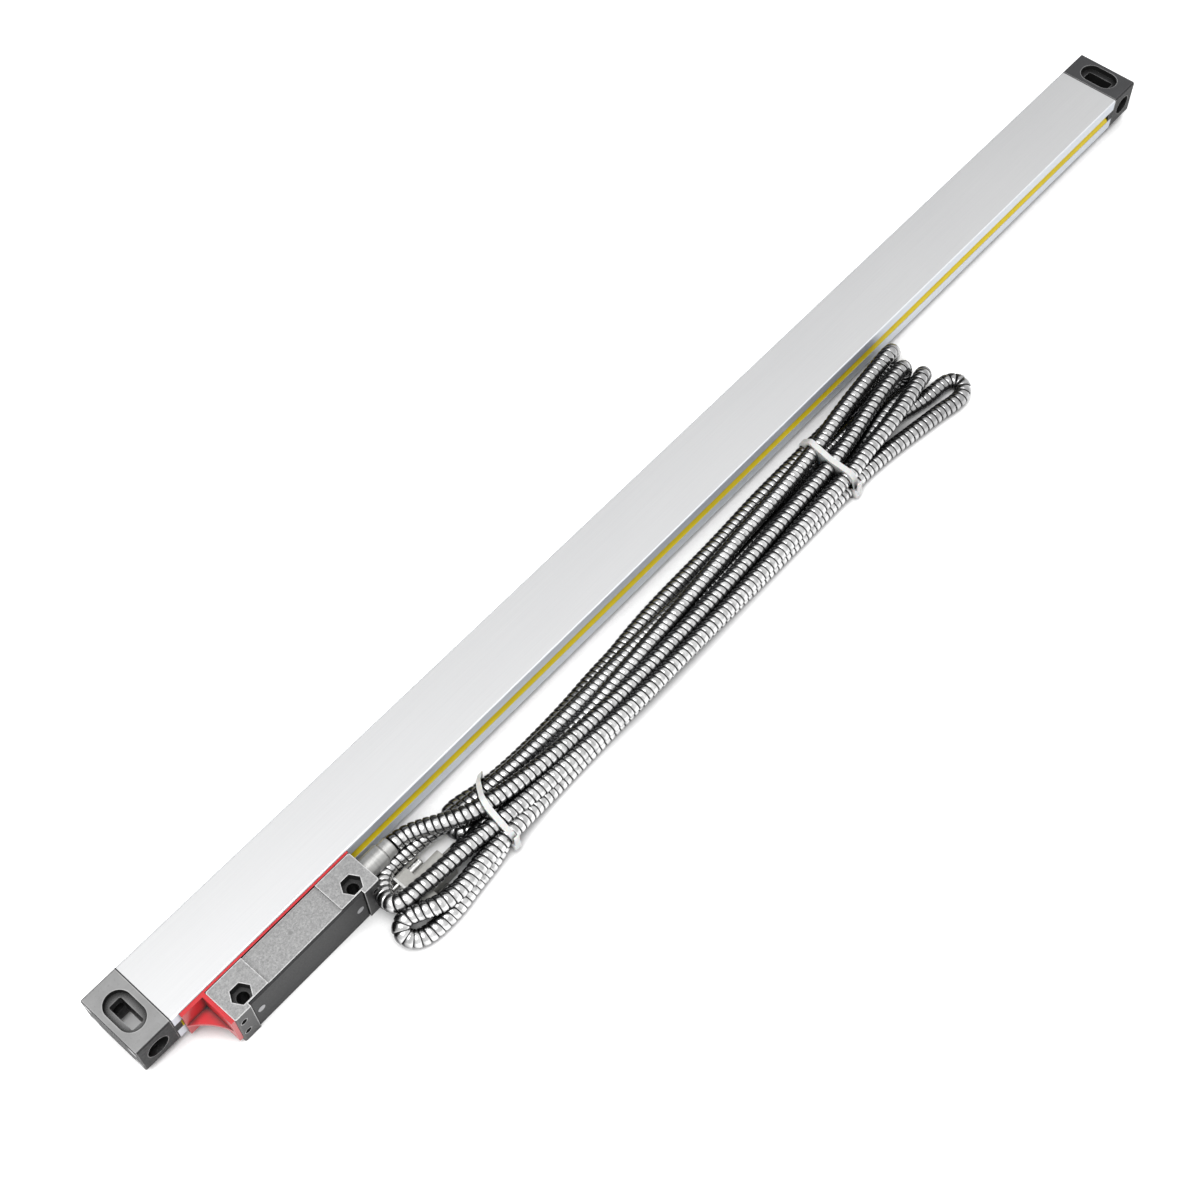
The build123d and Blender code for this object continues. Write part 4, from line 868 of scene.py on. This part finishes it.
outerFinishes = {
    "glandMetal": {
        "nodes": ("gland_body", "gland_ferrule"),
        "colour": (0.42, 0.42, 0.41), "metallic": 0.55, "roughness": 0.38, "grain": 90,
        "stretch": (14, 1, 1), "spread": 0.12, "bump": 0.18, "depth": 0.00008, "edge": 0.0002,
    },
    "coreJacket": {
        "nodes": ("cable_core",),
        "colour": (0.03, 0.03, 0.032), "roughness": 0.5, "grain": 600, "spread": 0.15,
    },
    "hoodCasting": {
        "nodes": ("connector_hood",),
        "colour": (0.36, 0.355, 0.335), "metallic": 0.25, "roughness": 0.45, "grain": 900, "broad": 160,
        "spread": 0.12, "bump": 0.3, "edge": 0.0003,
    },
    "shellPlate": {
        "nodes": ("connector_shell", "thumbscrew_right", "thumbscrew_left"),
        "colour": (0.62, 0.62, 0.61), "metallic": 0.95, "roughness": 0.24, "grain": 400,
        "bump": 0.1, "edge": 0.0002,
    },
    "insertBlack": {
        "nodes": ("connector_insert",),
        "colour": (0.015, 0.015, 0.016), "roughness": 0.45, "grain": 900, "spread": 0.2,
    },
    "bracketRed": {
        "nodes": ("transport_bracket",),
        "colour": (0.56, 0.004, 0.011), "roughness": 0.34, "grain": 240, "broad": 50, "spread": 0.12,
        # painted shade in the bracket's corners and in the gap beside the head
        "hollowShade": {"reach": 0.003, "shade": 0.012, "span": (0.42, 0.92)}, "bump": 0.16, "edge": 0.0003,
        "sockets": {"Subsurface Weight": 0.08, "Subsurface Scale": 0.002,
                    "Coat Weight": 0.25, "Coat Roughness": 0.25},
    },
}
dressAll(outerFinishes)
print("gland, connector and bracket dressed")


# Floor, dark flag behind, world and lamps

floorLook = {
    "size": 6.0, "below": 0.0002,
    "colour": grey(0.86), "roughness": 0.9, "sockets": {"Specular IOR Level": 0.1},
    "lift": 0.62, "reach": 0.03, "openSpan": (0.4, 0.72),  # a glow keeps it white, but it fades near the pieces into painted contact shadows
}
flagLook = {
    "width": 1.6, "height": 0.34, "y": 0.20,  # seen only in reflections, it darkens the metal's flanks
    "colour": grey(0.01), "roughness": 1, "sockets": {"Specular IOR Level": 0},
}
ambientLight = 0.42
lamps = [
    {"name": "keyLamp", "place": (-0.45, -0.15, 1.1), "aim": (-0.12, -0.02, 0.0), "size": 0.8, "power": 13},
    {"name": "fillLamp", "place": (0.7, 0.9, 1.1), "aim": (0.1, 0.0, 0.0), "size": 1.4, "power": 1.5},
]


def makeFloor(look):
    bm = bmesh.new()
    bmesh.ops.create_grid(bm, x_segments=1, y_segments=1, size=look["size"] / 2)
    bmesh.ops.translate(bm, vec=(0, 0, cadLow.z - look["below"]), verts=bm.verts)
    floor = addObject("floor", meshFrom("floor", bm))
    material, tree, shader = newMaterial("paleFloor", look)
    # the glow fades where pieces hem the floor in, a painted contact shadow
    lit = levels(tree, openness(tree, look["reach"], 8), (0, look["lift"]), look["openSpan"])
    glow = tree.nodes.new("ShaderNodeEmission")
    tree.links.new(maths(tree, "MULTIPLY", seenRays(tree), lit), glow.inputs["Strength"])
    both = tree.nodes.new("ShaderNodeAddShader")
    tree.links.new(shader.outputs["BSDF"], both.inputs[0])
    tree.links.new(glow.outputs["Emission"], both.inputs[1])
    tree.links.new(both.outputs["Shader"], tree.nodes["Material Output"].inputs["Surface"])
    floor.data.materials.append(material)


def makeFlag(look):
    bm = bmesh.new()
    bmesh.ops.create_grid(bm, x_segments=1, y_segments=1, size=0.5)
    bmesh.ops.scale(bm, vec=(look["width"], look["height"], 1), verts=bm.verts)
    bmesh.ops.rotate(bm, cent=(0, 0, 0), matrix=Matrix.Rotation(math.pi / 2, 3, "X"), verts=bm.verts)
    bmesh.ops.translate(bm, vec=(0, look["y"], look["height"] / 2), verts=bm.verts)
    flag = addObject("darkFlag", meshFrom("darkFlag", bm))
    flag.data.materials.append(newMaterial("flagCloth", look)[0])
    flag.visible_camera = flag.visible_diffuse = flag.visible_shadow = False


def makeWorld():
    world = bpy.data.worlds.new("studioWorld")
    scene.world = world
    world.use_nodes = True
    tree = world.node_tree
    ground = tree.nodes["Background"]
    ground.inputs["Color"].default_value = (1, 1, 1, 1)
    strength = levels(tree, seenRays(tree), (ambientLight, 1.0), (0, 1))
    tree.links.new(strength, ground.inputs["Strength"])


def makeLamps():
    for lamp in lamps:
        data = bpy.data.lights.new(lamp["name"], "AREA")
        data.size, data.energy = lamp["size"], lamp["power"]
        item = addObject(lamp["name"], data)
        spot = Vector(lamp["place"])
        aim = (Vector(lamp["aim"]) - spot).to_track_quat("-Z", "Y").to_matrix().to_4x4()
        item.matrix_world = Matrix.Translation(spot) @ aim


makeFloor(floorLook)
makeFlag(flagLook)
makeWorld()
makeLamps()
scene.view_settings.view_transform = "Standard"
print("studio lit")
